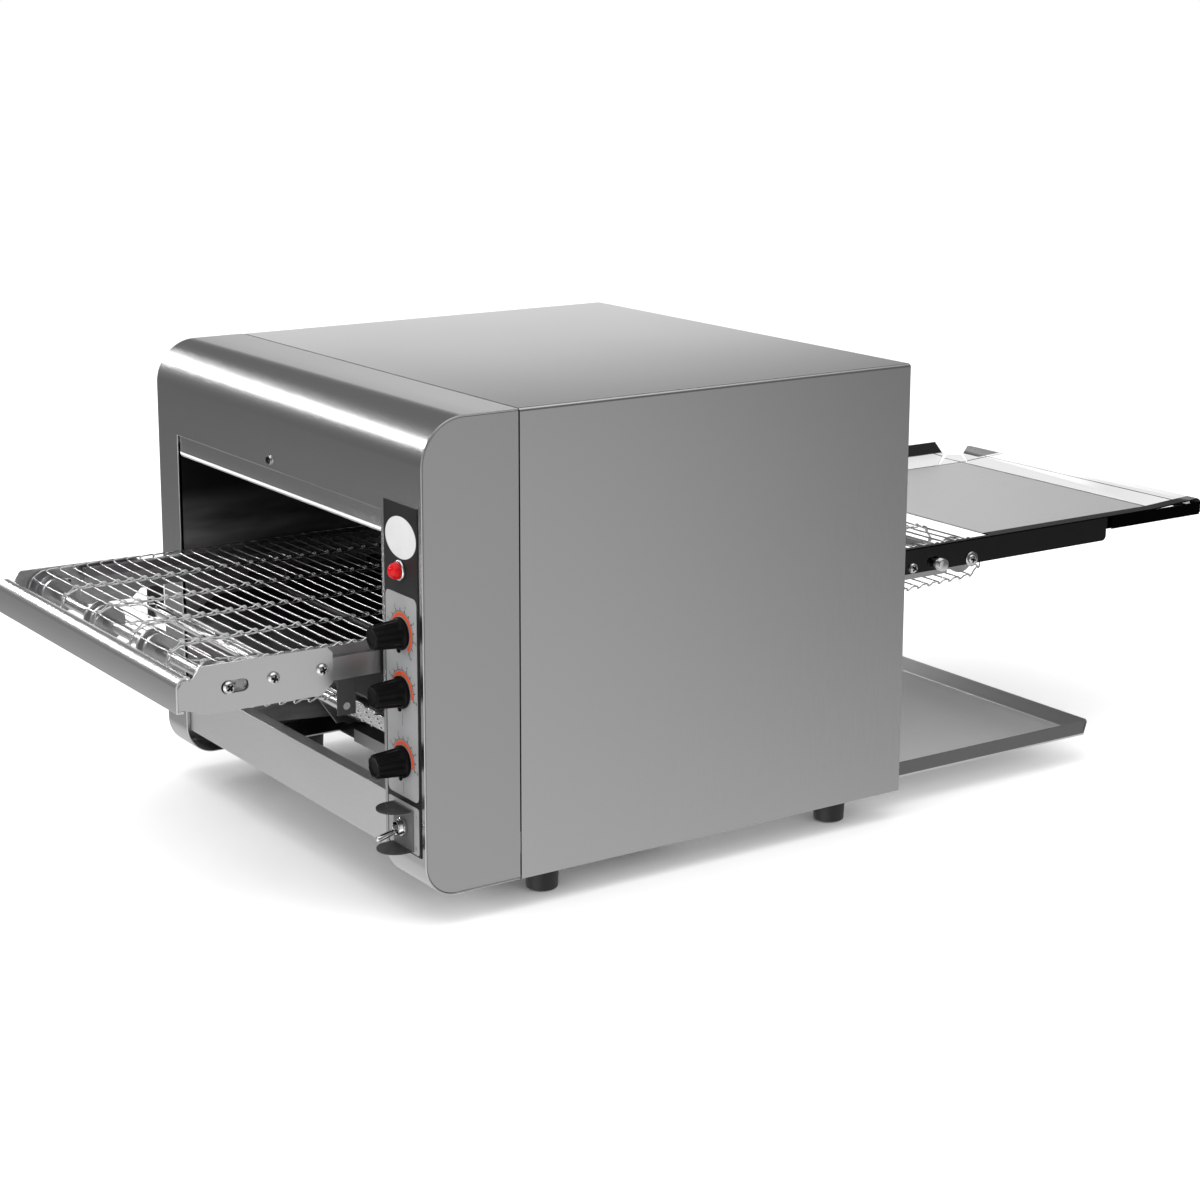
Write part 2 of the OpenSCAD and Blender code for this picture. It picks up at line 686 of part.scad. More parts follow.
// Side plates that hang the drive shaft low in the casing, with clearance for one heater
module drive_bracket(side) {
    front = drive_y - 78;
    rear = drive_y + 62;
    boss_r = 18;
    toe_r = 6;
    toe = drive_c - [14, 12];
    color(dark_steel) place() difference() {
        in_tunnel(side) along_x(frame_half, frame_half + plate_t) {
            polygon([[front, rail_top], [front, drive_z + 57], toe - [14, 3], toe + [2, -2],
                drive_c + [16, -12], [rear, drive_z + 67], [rear, rail_top]]);
            translate(toe) circle(toe_r);
            translate(drive_c) circle(boss_r);
        }
        rod_x([-half_w, half_w], drive_y, drive_z, drive_d + 2 * run_gap);
        for (y = heater_y) rod_x([-half_w, half_w], y, lower_heater_z, heater_d + 4);
    }
}
module drive_bracket_left() { drive_bracket(-1); }
module drive_bracket_right() { drive_bracket(1); }

// Bent pan under the sprockets, shorter at its upturned front edge
module drive_guard() {
    low = drive_z - drive_r - wire_d / 2 - 6;
    front = drive_y - 30;
    rear = drive_y + 26;
    front_up = 12;
    rear_up = 8;
    short = 38;                          // taken off the front edge's far end
    color(dark_steel) place() in_tunnel(1) difference() {
        along_x(-frame_half + fit, frame_half - fit) bent_sheet([[front, low + front_up], [front, low],
            [rear, low], [rear, low + rear_up]], sheet_t);
        block([-frame_half - 1, -frame_half + short], [front - 1, front + 4], [low - 1, low + front_up + 2]);
    }
}

module drive_shaft() {
    color(bright_steel) place()
        rod_x([tunnel_x - frame_half - plate_t + fit, right_x + sheet_t + 24], drive_y, drive_z, drive_d);
}

module drive_sprockets() {
    spread = 2 * (frame_half - 55);
    root_r = sprocket_r - 3;
    n = 4;
    color(dark_steel) place() in_tunnel(1) for (i = [0:n - 1])
        translate([spread * (i / (n - 1) - 0.5) - sprocket_w / 2, drive_y, drive_z]) rotate([90, 0, 90])
            linear_extrude(sprocket_w) difference() {
                union() {
                    circle(root_r);
                    for (k = [0:sprocket_teeth - 1]) rotate(360 * k / sprocket_teeth)
                        polygon([[root_r - 1, -2.4], [sprocket_r, -1], [sprocket_r, 1], [root_r - 1, 2.4]]);
                }
                circle(d = drive_d);
            }
}

// Gearbox with its output bore near the bottom, and a flat motor on its outer face
module gear_motor() {
    stand = 6;                           // length of the pins between gearbox and chamber wall
    pin_d = 8;
    x0 = right_x + sheet_t + stand;
    x1 = x0 + gearbox_t;
    foot_z = drive_z - 18;
    front = drive_y - 40;
    motor_z = foot_z + gearbox_h - motor_d / 2 - 2;
    color(dark_steel) place() difference() {
        union() {
            block([x0, x1], [front, front + gearbox_w], [foot_z, foot_z + gearbox_h]);
            rod_x([x1 - eps, min(x1 + 20, wall_in - 1)], drive_y, motor_z, motor_d);
            for (y = [front + 10, front + gearbox_w - 10], z = [foot_z + 48, foot_z + gearbox_h - 10])
                rod_x([x0 - stand + fit, x0 + eps], y, z, pin_d);
        }
        rod_x([x0 - 1, x0 + 20], drive_y, drive_z, drive_d + 2 * run_gap);
    }
}

module return_roller(c) {
    end_gap = 0.4;
    color(bright_steel) place() in_tunnel(1) {
        rod_x([-frame_half + hanger_t + end_gap, frame_half - hanger_t - end_gap], c.x, c.y, return_d);
        rod_x([-frame_half + fit, frame_half - fit], c.x, c.y, journal_d);
    }
}
module front_return_roller() { return_roller(front_rod); }
module rear_return_roller() { return_roller(rear_rod); }

// Flat net of link rows and cross wires, cut out of a sheet as thick as the wire
module belt_net(l, pitch) {
    cells = max(1, floor((l - wire_d) / pitch));
    cell = (l - wire_d) / cells;
    column = (belt_w - wire_d) / (link_rows - 1);
    translate([-belt_w / 2, 0, -wire_d / 2]) linear_extrude(wire_d) difference() {
        square([belt_w, l]);
        for (i = [0:cells - 1], j = [0:link_rows - 2])
            translate([j * column + wire_d, i * cell + wire_d]) square([column - wire_d, cell - wire_d]);
    }
}

// A straight stretch of belt between two points of the side view, kept clear of its neighbours
module belt_stretch(a, b, pitch) {
    trim = 0.6;
    l = norm(b - a) - 2 * trim;
    rise = atan2(b.y - a.y, b.x - a.x);
    translate([tunnel_x, a.x, a.y]) rotate([rise, 0, 0]) translate([0, trim, 0]) belt_net(l, pitch);
}

// A stretch of belt bent round an axis, from angle a0 through sweep
module belt_bend(c, r, a0, sweep, cells) {
    column = (belt_w - wire_d) / (link_rows - 1);
    clear = 0.5;
    bar = wire_d * 0.8;
    translate([tunnel_x, c.x, c.y]) rotate([90, 0, 90]) {
        for (j = [0:link_rows - 1]) translate([0, 0, -belt_w / 2 + j * column])
            rotate([0, 0, a0 + clear]) rotate_extrude(angle = sweep - 2 * clear)
                translate([r - wire_d / 2, 0]) square(wire_d);
        for (k = [0:cells]) rotate([0, 0, a0 + clear + 3 + (sweep - 2 * clear - 6) * k / cells])
            translate([r - bar / 2, -bar / 2, 0.4 - belt_w / 2]) cube([bar, bar, belt_w - 0.8]);
    }
}

module wire_belt() {
    in_a = atan2(drive_in.y - drive_z, drive_in.x - drive_y);
    out_a = atan2(drive_out.y - drive_z, drive_out.x - drive_y);
    color("#8f9296") place() {
        belt_stretch([-nose_reach, belt_z], [tail_y, belt_z], wire_pitch);
        belt_bend(nose_c, wrap_r, 90, 180, 2);
        belt_bend(tail_c, wrap_r, -90, 180, 2);
        belt_stretch(nose_c - [0, wrap_r], front_bend, return_pitch);
        belt_stretch(front_bend, drive_in, return_pitch);
        belt_bend(drive_c, drive_r, in_a, out_a - in_a, 1);
        belt_stretch(drive_out, rear_bend, return_pitch);
        belt_stretch(rear_bend, tail_c - [0, wrap_r], return_pitch);
    }
}

module control_label() {
    right = control_x + label_w / 2;
    color("#3c3d40") place() difference() {
        block([right - label_w, right], [-label_t, 0], [label_low, label_high]);
        for (z = dial_z) rod_y(control_x, [-label_t - 1, 1], z, bush_d + 2 * fit);
        rod_y(control_x, [-label_t - 1, 1], lamp_z, thread_d + 2 * fit);
        rod_y(control_x, [-label_t - 1, 1], toggle_z, thread_d + 2 * fit);
    }
}

// Turns a profile drawn in radius and distance out of the front face
module turned(z) { translate([control_x, 0, z]) rotate([90, 0, 0]) rotate_extrude() children(); }

module pilot_lamp_bezel() {
    color(bright_steel) place() turned(lamp_z)
        polygon([[5.6, label_t], [8.2, label_t], [8.2, label_t + 1.4], [7.3, label_t + bezel_h],
            [5.6, label_t + bezel_h]]);
}

module pilot_lamp_lens() {
    r = 6.8;
    low = label_t + bezel_h + fit;
    dome = low + 1.2;
    color("#c01218") place() turned(lamp_z) polygon(concat([[0, -20], [4.6, -20], [5.5, -18], [5.5, low],
        [r, low], [r, dome]], arc([0, dome], r, 8, 82, 7), [[0, dome + r]]));
}

// Fluted knob on its own spindle, with a pointer at the base
module knob(z) {
    y0 = label_t + 0.4;
    flute_r = 1.8;
    color(black) place() difference() {
        union() {
            turned(z) polygon([[0, -7], [spindle_d / 2, -7], [spindle_d / 2, y0], [knob_d / 2, y0],
                [knob_d / 2, y0 + 2.5], [knob_d / 2 - 2, y0 + 3.5], [knob_tip_d / 2 + 0.4, y0 + knob_l - 1],
                [knob_tip_d / 2 - 0.6, y0 + knob_l], [0, y0 + knob_l]]);
            block([control_x - 1.2, control_x + 1.2], [-y0 - 5, -y0 - 0.2],
                [z - knob_d / 2 - 2, z - knob_tip_d / 2 + 1]);
        }
        for (k = [0:knob_flutes - 1])
            translate([control_x, 0, z]) rotate([0, 360 * (k + 0.5) / knob_flutes, 0])
                translate([knob_tip_d / 2 + 0.6 * flute_r, -y0 - 6, 0]) rotate([90, 0, 0])
                    cylinder(r = flute_r, h = knob_l);
    }
}
module knob_speed() { knob(dial_speed_z); }
module knob_top_heat() { knob(dial_top_z); }
module knob_bottom_heat() { knob(dial_bottom_z); }

// The speed control and the two heat regulators, each held by a threaded bush in the hood's skin
module dial_controllers() {
    color("#d9d6cc") place() for (i = [0:2]) difference() {
        union() {
            rod_y(control_x, [-label_t, skin_t + 1], dial_z[i], bush_d);
            if (i == 0) rod_y(control_x, [skin_t + fit, skin_t + 14], dial_z[i], 25);
            else block([control_x - 15, control_x + 15], [skin_t + fit, skin_t + 30],
                [dial_z[i] - 15, dial_z[i] + 15]);
        }
        rod_y(control_x, [-label_t - 1, skin_t + 7], dial_z[i], spindle_d + 2 * run_gap);
    }
}

module toggle_body() {
    front = label_t + 8;
    color(bright_steel) place() difference() {
        union() {
            rod_y(control_x, [-front, skin_t + 0.5], toggle_z, thread_d);
            rod_y(control_x, [-label_t - sheet_t - 3, -label_t - sheet_t - fit], toggle_z, 14.6);
            block([control_x - 7, control_x + 7], [skin_t + fit, skin_t + 24],
                [toggle_z - 14, toggle_z + 14]);
        }
        translate([control_x, 0, toggle_z]) rotate([90, 0, 0]) rotate_extrude()
            polygon([[0, -toggle_pivot - 4.5], [3.6, -toggle_pivot - 4.5], [3.6, -toggle_pivot + 2],
                [5.1, front + 1], [0, front + 1]]);
    }
}

module toggle_lever() {
    color(bright_steel) place() translate([control_x, toggle_pivot, toggle_z]) rotate([90 + lever_tilt, 0, 0])
        rotate_extrude() polygon(concat([[0, -3], [2.8, -1.2], [2.8, 1.2], [1.5, 3], [1.5, 8],
            [2.5, lever_l - 3]], arc([0, lever_l - 2.5], 2.5, 20, 80, 4), [[0, lever_l]]));
}

// Back plate with a wing above and below the switch
module toggle_guard() {
    x0 = control_x - guard_w / 2;
    z0 = toggle_z - guard_h / 2;
    y1 = -label_t;
    r = guard_w / 2;
    color(black) place() {
        difference() {
            block([x0, x0 + guard_w], [y1 - sheet_t, y1], [z0, z0 + guard_h]);
            rod_y(control_x, [y1 - 3, 1], toggle_z, thread_d + 2 * fit);
        }
        for (z = [z0, z0 + guard_h - sheet_t]) translate([x0 + r, y1 - sheet_t + eps, z])
            intersection() {
                translate([0, r - guard_out, 0]) cylinder(r = r, h = sheet_t);
                translate([-r, -guard_out, 0]) cube([2 * r, guard_out, sheet_t]);
            }
        for (z = [z0, z0 + guard_h - sheet_t])
            block([x0, x0 + guard_w], [min(y1 - guard_out + r, y1 - sheet_t) - eps, y1 - sheet_t + eps],
                [z, z + sheet_t]);
    }
}

// Square fan frame on the rear panel, with a hub held by three struts
module fan_frame() {
    bore_d = fan_w - 4;
    y1 = panel_y - fit;
    hub_d = 18;
    color(black) place() {
        difference() {
            block([service_x - fan_w / 2, service_x + fan_w / 2], [y1 - fan_t, y1],
                [fan_z - fan_w / 2, fan_z + fan_w / 2]);
            rod_y(service_x, [y1 - fan_t - 1, y1 + 1], fan_z, bore_d);
        }
        difference() {
            union() {
                rod_y(service_x, [y1 - 3, y1], fan_z, hub_d);
                for (a = [30, 150, 270]) translate([service_x, y1 - 2.7, fan_z]) rotate([0, a, 0])
                    translate([hub_d / 2 - 2, 0, -1.5]) cube([(bore_d - hub_d) / 2 + 2.8, 2.4, 3]);
            }
            rod_y(service_x, [y1 - 4, y1 - 0.8], fan_z, 4 + 2 * run_gap);
        }
    }
}

module fan_rotor() {
    y1 = panel_y - fit - 3.5;
    depth = fan_t - 4.5;
    hub_d = 18;
    tip_r = (fan_w - 4) / 2 - 1;
    pitch = 38;
    color(black) place() {
        rod_y(service_x, [y1 - depth, y1], fan_z, hub_d);
        rod_y(service_x, [y1 - 1, y1 + 2.5], fan_z, 4);
        intersection() {
            rod_y(service_x, [y1 - depth, y1], fan_z, 2 * tip_r);
            for (k = [0:fan_blades - 1]) translate([service_x, y1 - depth / 2, fan_z])
                rotate([0, 360 * k / fan_blades, 0]) rotate([pitch, 0, 0])
                translate([hub_d / 2 - 1, -0.6, -depth]) cube([tip_r, 1.2, 2 * depth]);
        }
    }
}

module terminal_block() {
    x0 = right_x + sheet_t + fit;
    y0 = body_d - 100;
    z0 = gland_z + 40;
    way = 16;                            // from one terminal to the next
    n = 3;
    block_h = 22;
    color("#d9d6cc") place() difference() {
        block([x0, x0 + 18], [y0, y0 + way * n], [z0, z0 + block_h]);
        for (i = [0:n - 1]) rod_x([x0 + 10, x0 + 19], y0 + way * (i + 0.5), z0 + block_h / 2, 6);
    }
}

module cord_gland() {
    y1 = panel_y + sheet_t + fit;
    color(black) place() difference() {
        union() {
            rod_y(service_x, [panel_y - 7, y1 + 17], gland_z, thread_d);
            rod_y(service_x, [panel_y - 6, panel_y - fit], gland_z, 19);
            rod_y(service_x, [y1, y1 + 6], gland_z, 20);
            rod_y(service_x, [y1, y1 + 14], gland_z, 16);
        }
        rod_y(service_x, [panel_y - 8, y1 + 18], gland_z, gland_bore);
    }
}

module landing_tray() {
    half = tray_w / 2;
    cut = 10;
    color(steel) place() {
        along_y(tray_y0, tray_y1) bent_sheet([[-half, tray_z + tray_wall], [-half, tray_z], [half, tray_z],
            [half, tray_z + tray_wall]], tray_t);
        difference() {
            along_x(-half, half) bent_sheet([[tray_y1 - 1, tray_z], [tray_y1, tray_z],
                [tray_y1 + tray_lean, tray_z + tray_wall]], tray_t);
            for (s = [-1, 1]) translate([s * half, tray_y1, tray_z + tray_wall + 5]) rotate([0, 45, 0])
                cube([cut, 60, cut], center = true);
        }
    }
}

// Pan head screw, head outwards along x
module pan_screw(y, z, reach) {
    translate([frame_half + plate_t, y, z]) rotate([0, 90, 0]) {
        rotate_extrude() polygon([[0, 0], [5, 0], [5, 1], [4.2, 2.6], [2.2, head_h], [0, head_h]]);
        translate([0, 0, -reach]) cylinder(d = screw_d, h = reach + eps);
    }
}

module conveyor_screws() {
    reach = plate_t - fit;
    face = frame_half + plate_t;
    color(bright_steel) place() for (s = [-1, 1]) in_tunnel(s) {
        for (y = screw_y) pan_screw(y, screw_z, reach);
        for (y = [-nose_reach, tail_y]) translate([0.2, 0, 0]) pan_screw(y, wrap_z, 0.2);
        for (y = outfeed_screw_y) pan_screw(y, screw_z, reach);
        // A block on the nose shaft's end slides behind the plate's slot and tightens the belt
        difference() {
            block([frame_half - 4, frame_half - fit], [-nose_reach - 9, -nose_reach + 21],
                [wrap_z - 8, wrap_z + 8]);
            rod_x([0, half_w], -nose_reach, wrap_z, shaft_d + 2 * fit);
        }
        if (s > 0) {
            rod_x([face + head_h - eps, face + 8.4], outfeed_screw_y[1], screw_z, 12);
            rod_x([face + 0.2, face + 1.1], tail_y, wrap_z, 14);
        }
    }
}

module flap_screws() {
    color(bright_steel) place() for (s = [0, 1]) translate([clamp_x, s * body_d, clamp_z]) mirror([0, s, 0])
        translate([0, s * 0.3, 0]) rotate([90, 0, 0]) {
            rotate_extrude() polygon([[0, 0], [4.5, 0], [4.5, 1], [3.6, 2.4], [0, 3]]);
            translate([0, 0, -5]) cylinder(d = screw_d, h = 5 + eps);
        }
}

hood_skin();
hood_cheek_left();
hood_cheek_right();
wrap_cover();
rear_panel();
lower_cross_bar();
base_rail_left();
base_rail_right();
foot_front_left();
foot_front_right();
foot_rear_left();
foot_rear_right();
front_flap();
rear_flap();
chamber_wall_left();
chamber_wall_right();
upper_reflector();
lower_reflector();
insulation_blanket();
upper_heaters();
lower_heaters();
rail_left();
rail_right();
wear_strips();
infeed_plate_left();
infeed_plate_right();
infeed_fascia();
nose_shaft();
nose_rollers();
tail_shaft();
tail_rollers();
outfeed_plate_left();
outfeed_plate_right();
outfeed_shelf();
drive_bracket_left();
drive_bracket_right();
drive_guard();
drive_shaft();
drive_sprockets();
gear_motor();
front_return_roller();
rear_return_roller();
wire_belt();
control_label();
pilot_lamp_bezel();
pilot_lamp_lens();
knob_speed();
knob_top_heat();
knob_bottom_heat();
dial_controllers();
toggle_body();
toggle_lever();
toggle_guard();
fan_frame();
fan_rotor();
terminal_block();
cord_gland();
landing_tray();
conveyor_screws();
flap_screws();
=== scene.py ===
import json
import math

import bmesh
import bpy
import numpy as np
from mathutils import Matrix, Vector

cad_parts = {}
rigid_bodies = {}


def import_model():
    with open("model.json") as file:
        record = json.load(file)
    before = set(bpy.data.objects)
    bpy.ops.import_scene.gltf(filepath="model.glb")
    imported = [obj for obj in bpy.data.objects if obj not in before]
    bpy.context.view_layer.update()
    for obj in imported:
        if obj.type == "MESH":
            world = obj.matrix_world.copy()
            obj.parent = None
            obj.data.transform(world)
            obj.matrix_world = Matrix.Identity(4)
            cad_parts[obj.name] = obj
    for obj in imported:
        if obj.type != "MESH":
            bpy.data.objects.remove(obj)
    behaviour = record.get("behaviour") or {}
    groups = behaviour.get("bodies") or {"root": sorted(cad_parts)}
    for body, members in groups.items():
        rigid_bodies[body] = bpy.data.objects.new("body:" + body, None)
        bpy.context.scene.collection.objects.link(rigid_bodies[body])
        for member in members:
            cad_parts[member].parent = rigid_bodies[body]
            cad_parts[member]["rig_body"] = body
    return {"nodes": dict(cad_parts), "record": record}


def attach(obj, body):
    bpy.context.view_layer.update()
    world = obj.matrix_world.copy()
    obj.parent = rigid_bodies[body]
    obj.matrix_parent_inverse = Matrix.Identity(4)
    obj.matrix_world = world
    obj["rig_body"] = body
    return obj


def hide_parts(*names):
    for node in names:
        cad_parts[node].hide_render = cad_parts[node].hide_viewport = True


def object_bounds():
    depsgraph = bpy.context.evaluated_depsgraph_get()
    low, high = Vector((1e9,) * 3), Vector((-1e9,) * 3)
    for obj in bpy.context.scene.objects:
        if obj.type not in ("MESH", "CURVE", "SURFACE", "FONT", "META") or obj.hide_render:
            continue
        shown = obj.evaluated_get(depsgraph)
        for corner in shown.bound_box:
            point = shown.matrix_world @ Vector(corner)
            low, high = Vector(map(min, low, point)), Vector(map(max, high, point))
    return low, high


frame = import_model()
cadLow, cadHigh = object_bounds()
nodes = frame["nodes"]

# Measures are in millimetres in the casing's own frame, as in the part's source: x from the casing's middle
# towards the controls, y from the front face to the rear, z from the underside.
mm = 0.001    # in metres
casing = {
    "middleY": 370.0, "footHeight": 25.0, "halfWidth": 237.0, "height": 380.0, "depth": 481.0, "seam": 87.0,
    "far": 1000.0,    # past the part on any side
}
tunnel = {"middle": -9.2, "left": -197.0, "right": 178.6, "frameHalf": 179.2, "plate": 2.0}
rowShift = np.array([0.0, -casing["middleY"], casing["footHeight"]])
upright, lengthways, crossways, even = (14, 14, 1), (14, 1, 14), (1, 14, 14), (1, 1, 1)    # ways of brushing


# Casing millimetres to the frame's metres: shift along y and z, then divide by a thousand.
def toRow(points):
    return (np.asarray(points, float) + rowShift) * mm


# Joins an output to an input.
def link(tree, a, b):
    tree.links.new(a, b)


# A fresh material with its tree and shader, and the place on the object in metres.
def newMaterial(name):
    mat = bpy.data.materials.new(name)
    mat.use_nodes = True
    tree = mat.node_tree
    shader = tree.nodes["Principled BSDF"]
    coord = tree.nodes.new("ShaderNodeTexCoord")
    return mat, tree, shader, coord.outputs["Object"]


# Fractal noise of the place, squeezed along each axis by stretch.
def noiseOf(tree, source, scale, stretch=(1, 1, 1), detail=3.0, roughness=0.6):
    mapping = tree.nodes.new("ShaderNodeMapping")
    mapping.inputs["Scale"].default_value = stretch
    link(tree, source, mapping.inputs["Vector"])
    noise = tree.nodes.new("ShaderNodeTexNoise")
    noise.inputs["Scale"].default_value = scale
    noise.inputs["Detail"].default_value = detail
    noise.inputs["Roughness"].default_value = roughness
    link(tree, mapping.outputs["Vector"], noise.inputs["Vector"])
    return noise.outputs["Fac"]


# Straight line from one range to another, clamped at its ends.
def remap(tree, value, low, high, fromLow=0.3, fromHigh=0.7):
    node = tree.nodes.new("ShaderNodeMapRange")
    node.inputs["From Min"].default_value = fromLow
    node.inputs["From Max"].default_value = fromHigh
    node.inputs["To Min"].default_value = low
    node.inputs["To Max"].default_value = high
    link(tree, value, node.inputs["Value"])
    return node.outputs["Result"]


# One step of arithmetic; each value is a number or another node's output.
def mathNode(tree, kind, *values):
    node = tree.nodes.new("ShaderNodeMath")
    node.operation = kind
    for socket, value in enumerate(values):
        if isinstance(value, bpy.types.NodeSocket):
            link(tree, value, node.inputs[socket])
        else:
            node.inputs[socket].default_value = value
    return node.outputs[0]


# Colour a where the factor is nought, b where it is one, and a straight mix between.
def blendColours(tree, factor, a, b):
    node = tree.nodes.new("ShaderNodeMix")
    node.data_type = "RGBA"
    for socket, colour in ((6, a), (7, b)):
        if isinstance(colour, bpy.types.NodeSocket):
            link(tree, colour, node.inputs[socket])
        else:
            node.inputs[socket].default_value = (*colour, 1)
    link(tree, factor, node.inputs[0])
    return node.outputs[2]


# Tilts the surface by the slope of a height.
def bumpFrom(tree, shader, height, strength, distance):
    bump = tree.nodes.new("ShaderNodeBump")
    bump.inputs["Strength"].default_value = strength
    bump.inputs["Distance"].default_value = distance
    link(tree, height, bump.inputs["Height"])
    link(tree, bump.outputs["Normal"], shader.inputs["Normal"])


# Two shades of a colour, darker and lighter by the share given.
def shades(base, tone):
    return tuple(c * (1 - tone) for c in base), tuple(min(c * (1 + tone), 1) for c in base)


brushing = {
    "detail": 4.0, "rough": 0.7, "smears": 5.0, "smearShare": 0.25, "low": 0.4, "high": 0.85,
    "height": 0.2 * mm,
}


# Brushed metal: a fine noise stretched along the brushing moves the colour, the roughness and the height,
# and a wide soft noise adds faint smears to the roughness.
def steel(name, base, rough, spread, grain, scale=90, tone=0.03, bump=0.03, metal=1.0):
    mat, tree, shader, place = newMaterial(name)
    fine = noiseOf(tree, place, scale, grain, brushing["detail"], brushing["rough"])
    wide = noiseOf(tree, place, brushing["smears"], even, 1.0, 0.5)
    both = mathNode(tree, "MULTIPLY_ADD", wide, brushing["smearShare"], fine)
    roughness = remap(tree, both, rough - spread, rough + spread, brushing["low"], brushing["high"])
    link(tree, roughness, shader.inputs["Roughness"])
    link(tree, blendColours(tree, remap(tree, fine, 0, 1), *shades(base, tone)), shader.inputs["Base Color"])
    shader.inputs["Metallic"].default_value = metal
    if bump:
        bumpFrom(tree, shader, fine, bump, brushing["height"])
    return mat


moulding = {"detail": 2.0, "patches": 40.0, "spread": 0.05, "height": 0.1 * mm}


# Moulded plastic or rubber: a fine even noise for the skin's grain, and a slow one for its colour.
def moulded(name, base, rough, scale=900, bump=0.15, tone=0.12, shine=0.5):
    mat, tree, shader, place = newMaterial(name)
    fine = noiseOf(tree, place, scale, detail=moulding["detail"])
    slow = noiseOf(tree, place, moulding["patches"])
    link(tree, blendColours(tree, remap(tree, slow, 0, 1), *shades(base, tone)), shader.inputs["Base Color"])
    spread = moulding["spread"]
    link(tree, remap(tree, fine, rough - spread, rough + spread), shader.inputs["Roughness"])
    shader.inputs["Specular IOR Level"].default_value = shine
    bumpFrom(tree, shader, fine, bump, moulding["height"])
    return mat


red = {
    "scale": 300.0, "deep": (0.42, 0.003, 0.006), "light": (0.60, 0.008, 0.012), "rough": (0.10, 0.20),
    "shine": 0.25,
}


# Red plastic: a slow noise deepens the colour and dulls the gloss.
def redLens(name):
    mat, tree, shader, place = newMaterial(name)
    slow = noiseOf(tree, place, red["scale"])
    reds = blendColours(tree, remap(tree, slow, 0, 1), red["deep"], red["light"])
    link(tree, reds, shader.inputs["Base Color"])
    link(tree, remap(tree, slow, *red["rough"]), shader.inputs["Roughness"])
    shader.inputs["Specular IOR Level"].default_value = red["shine"]
    return mat


# Lays a colour, and a roughness and a share of metal if given, over a finish inside boxes in casing
# millimetres. A box is a list of (axis, low, high): inside it each axis is within half a width of its middle.
def painted(mat, boxes, colour, rough=None, metal=None):
    tree = mat.node_tree
    shader = tree.nodes["Principled BSDF"]
    axes = tree.nodes.new("ShaderNodeSeparateXYZ")
    link(tree, tree.nodes["Texture Coordinate"].outputs["Object"], axes.inputs[0])
    inside = 0.0
    for box in boxes:
        share = 1.0
        for letter, low, high in box:
            axis = "xyz".index(letter)
            middle = float(toRow([(low + high) / 2] * 3)[axis])
            near = mathNode(tree, "COMPARE", axes.outputs[axis], middle, (high - low) / 2 * mm)
            share = mathNode(tree, "MULTIPLY", share, near)
        inside = mathNode(tree, "MAXIMUM", inside, share)
    below = shader.inputs["Base Color"].links[0].from_socket
    link(tree, blendColours(tree, inside, below, colour), shader.inputs["Base Color"])
    for name, value in (("Roughness", rough), ("Metallic", metal)):
        if value is None:
            continue
        socket = shader.inputs[name]
        mix = tree.nodes.new("ShaderNodeMix")
        link(tree, inside, mix.inputs[0])
        mix.inputs[2].default_value = socket.default_value
        if socket.links:
            link(tree, socket.links[0].from_socket, mix.inputs[2])
        mix.inputs[3].default_value = value
        link(tree, mix.outputs[0], socket)
    return mat


smears = {
    "scale": 11, "stretch": (1, 0.45, 2.5), "share": (0.1, 1.0), "inward": (30.0, 250.0),
    "upward": (195.0, 250.0), "black": (0.010, 0.010, 0.010), "grey": (0.42, 0.415, 0.41),
    "rough": (0.55, 0.42), "metal": 0.5,
}


# The tunnel's left wall: black as painted shade, with grey smears along the belt's way whose painted light
# fades upwards and inwards.
def smearedWall():
    mat, tree, shader, place = newMaterial("smearedWall")
    smear = noiseOf(tree, place, smears["scale"], smears["stretch"])
    axes = tree.nodes.new("ShaderNodeSeparateXYZ")
    link(tree, place, axes.inputs[0])
    share = remap(tree, smear, *smears["share"])
    for axis, stretch in ((1, smears["inward"]), (2, smears["upward"])):
        start, stop = (float(toRow([at] * 3)[axis]) for at in stretch)
        share = mathNode(tree, "MULTIPLY", share, remap(tree, axes.outputs[axis], 1.0, 0.0, start, stop))
    link(tree, blendColours(tree, share, smears["black"], smears["grey"]), shader.inputs["Base Color"])
    link(tree, remap(tree, smear, *smears["rough"]), shader.inputs["Roughness"])
    shader.inputs["Metallic"].default_value = smears["metal"]
    return mat


# Paints shade on a screw's head where its points carry the mark of the recess.
def darkRecess(mat):
    tree = mat.node_tree
    shader = tree.nodes["Principled BSDF"]
    mark = tree.nodes.new("ShaderNodeAttribute")
    mark.attribute_name = "shade"
    below = shader.inputs["Base Color"].links[0].from_socket
    marked = blendColours(tree, mark.outputs["Fac"], below, (0.04, 0.04, 0.04))
    link(tree, marked, shader.inputs["Base Color"])


# A steel's grey, a little bluer than even.
def cool(tone):
    return (tone, tone + 0.002, tone + 0.006)


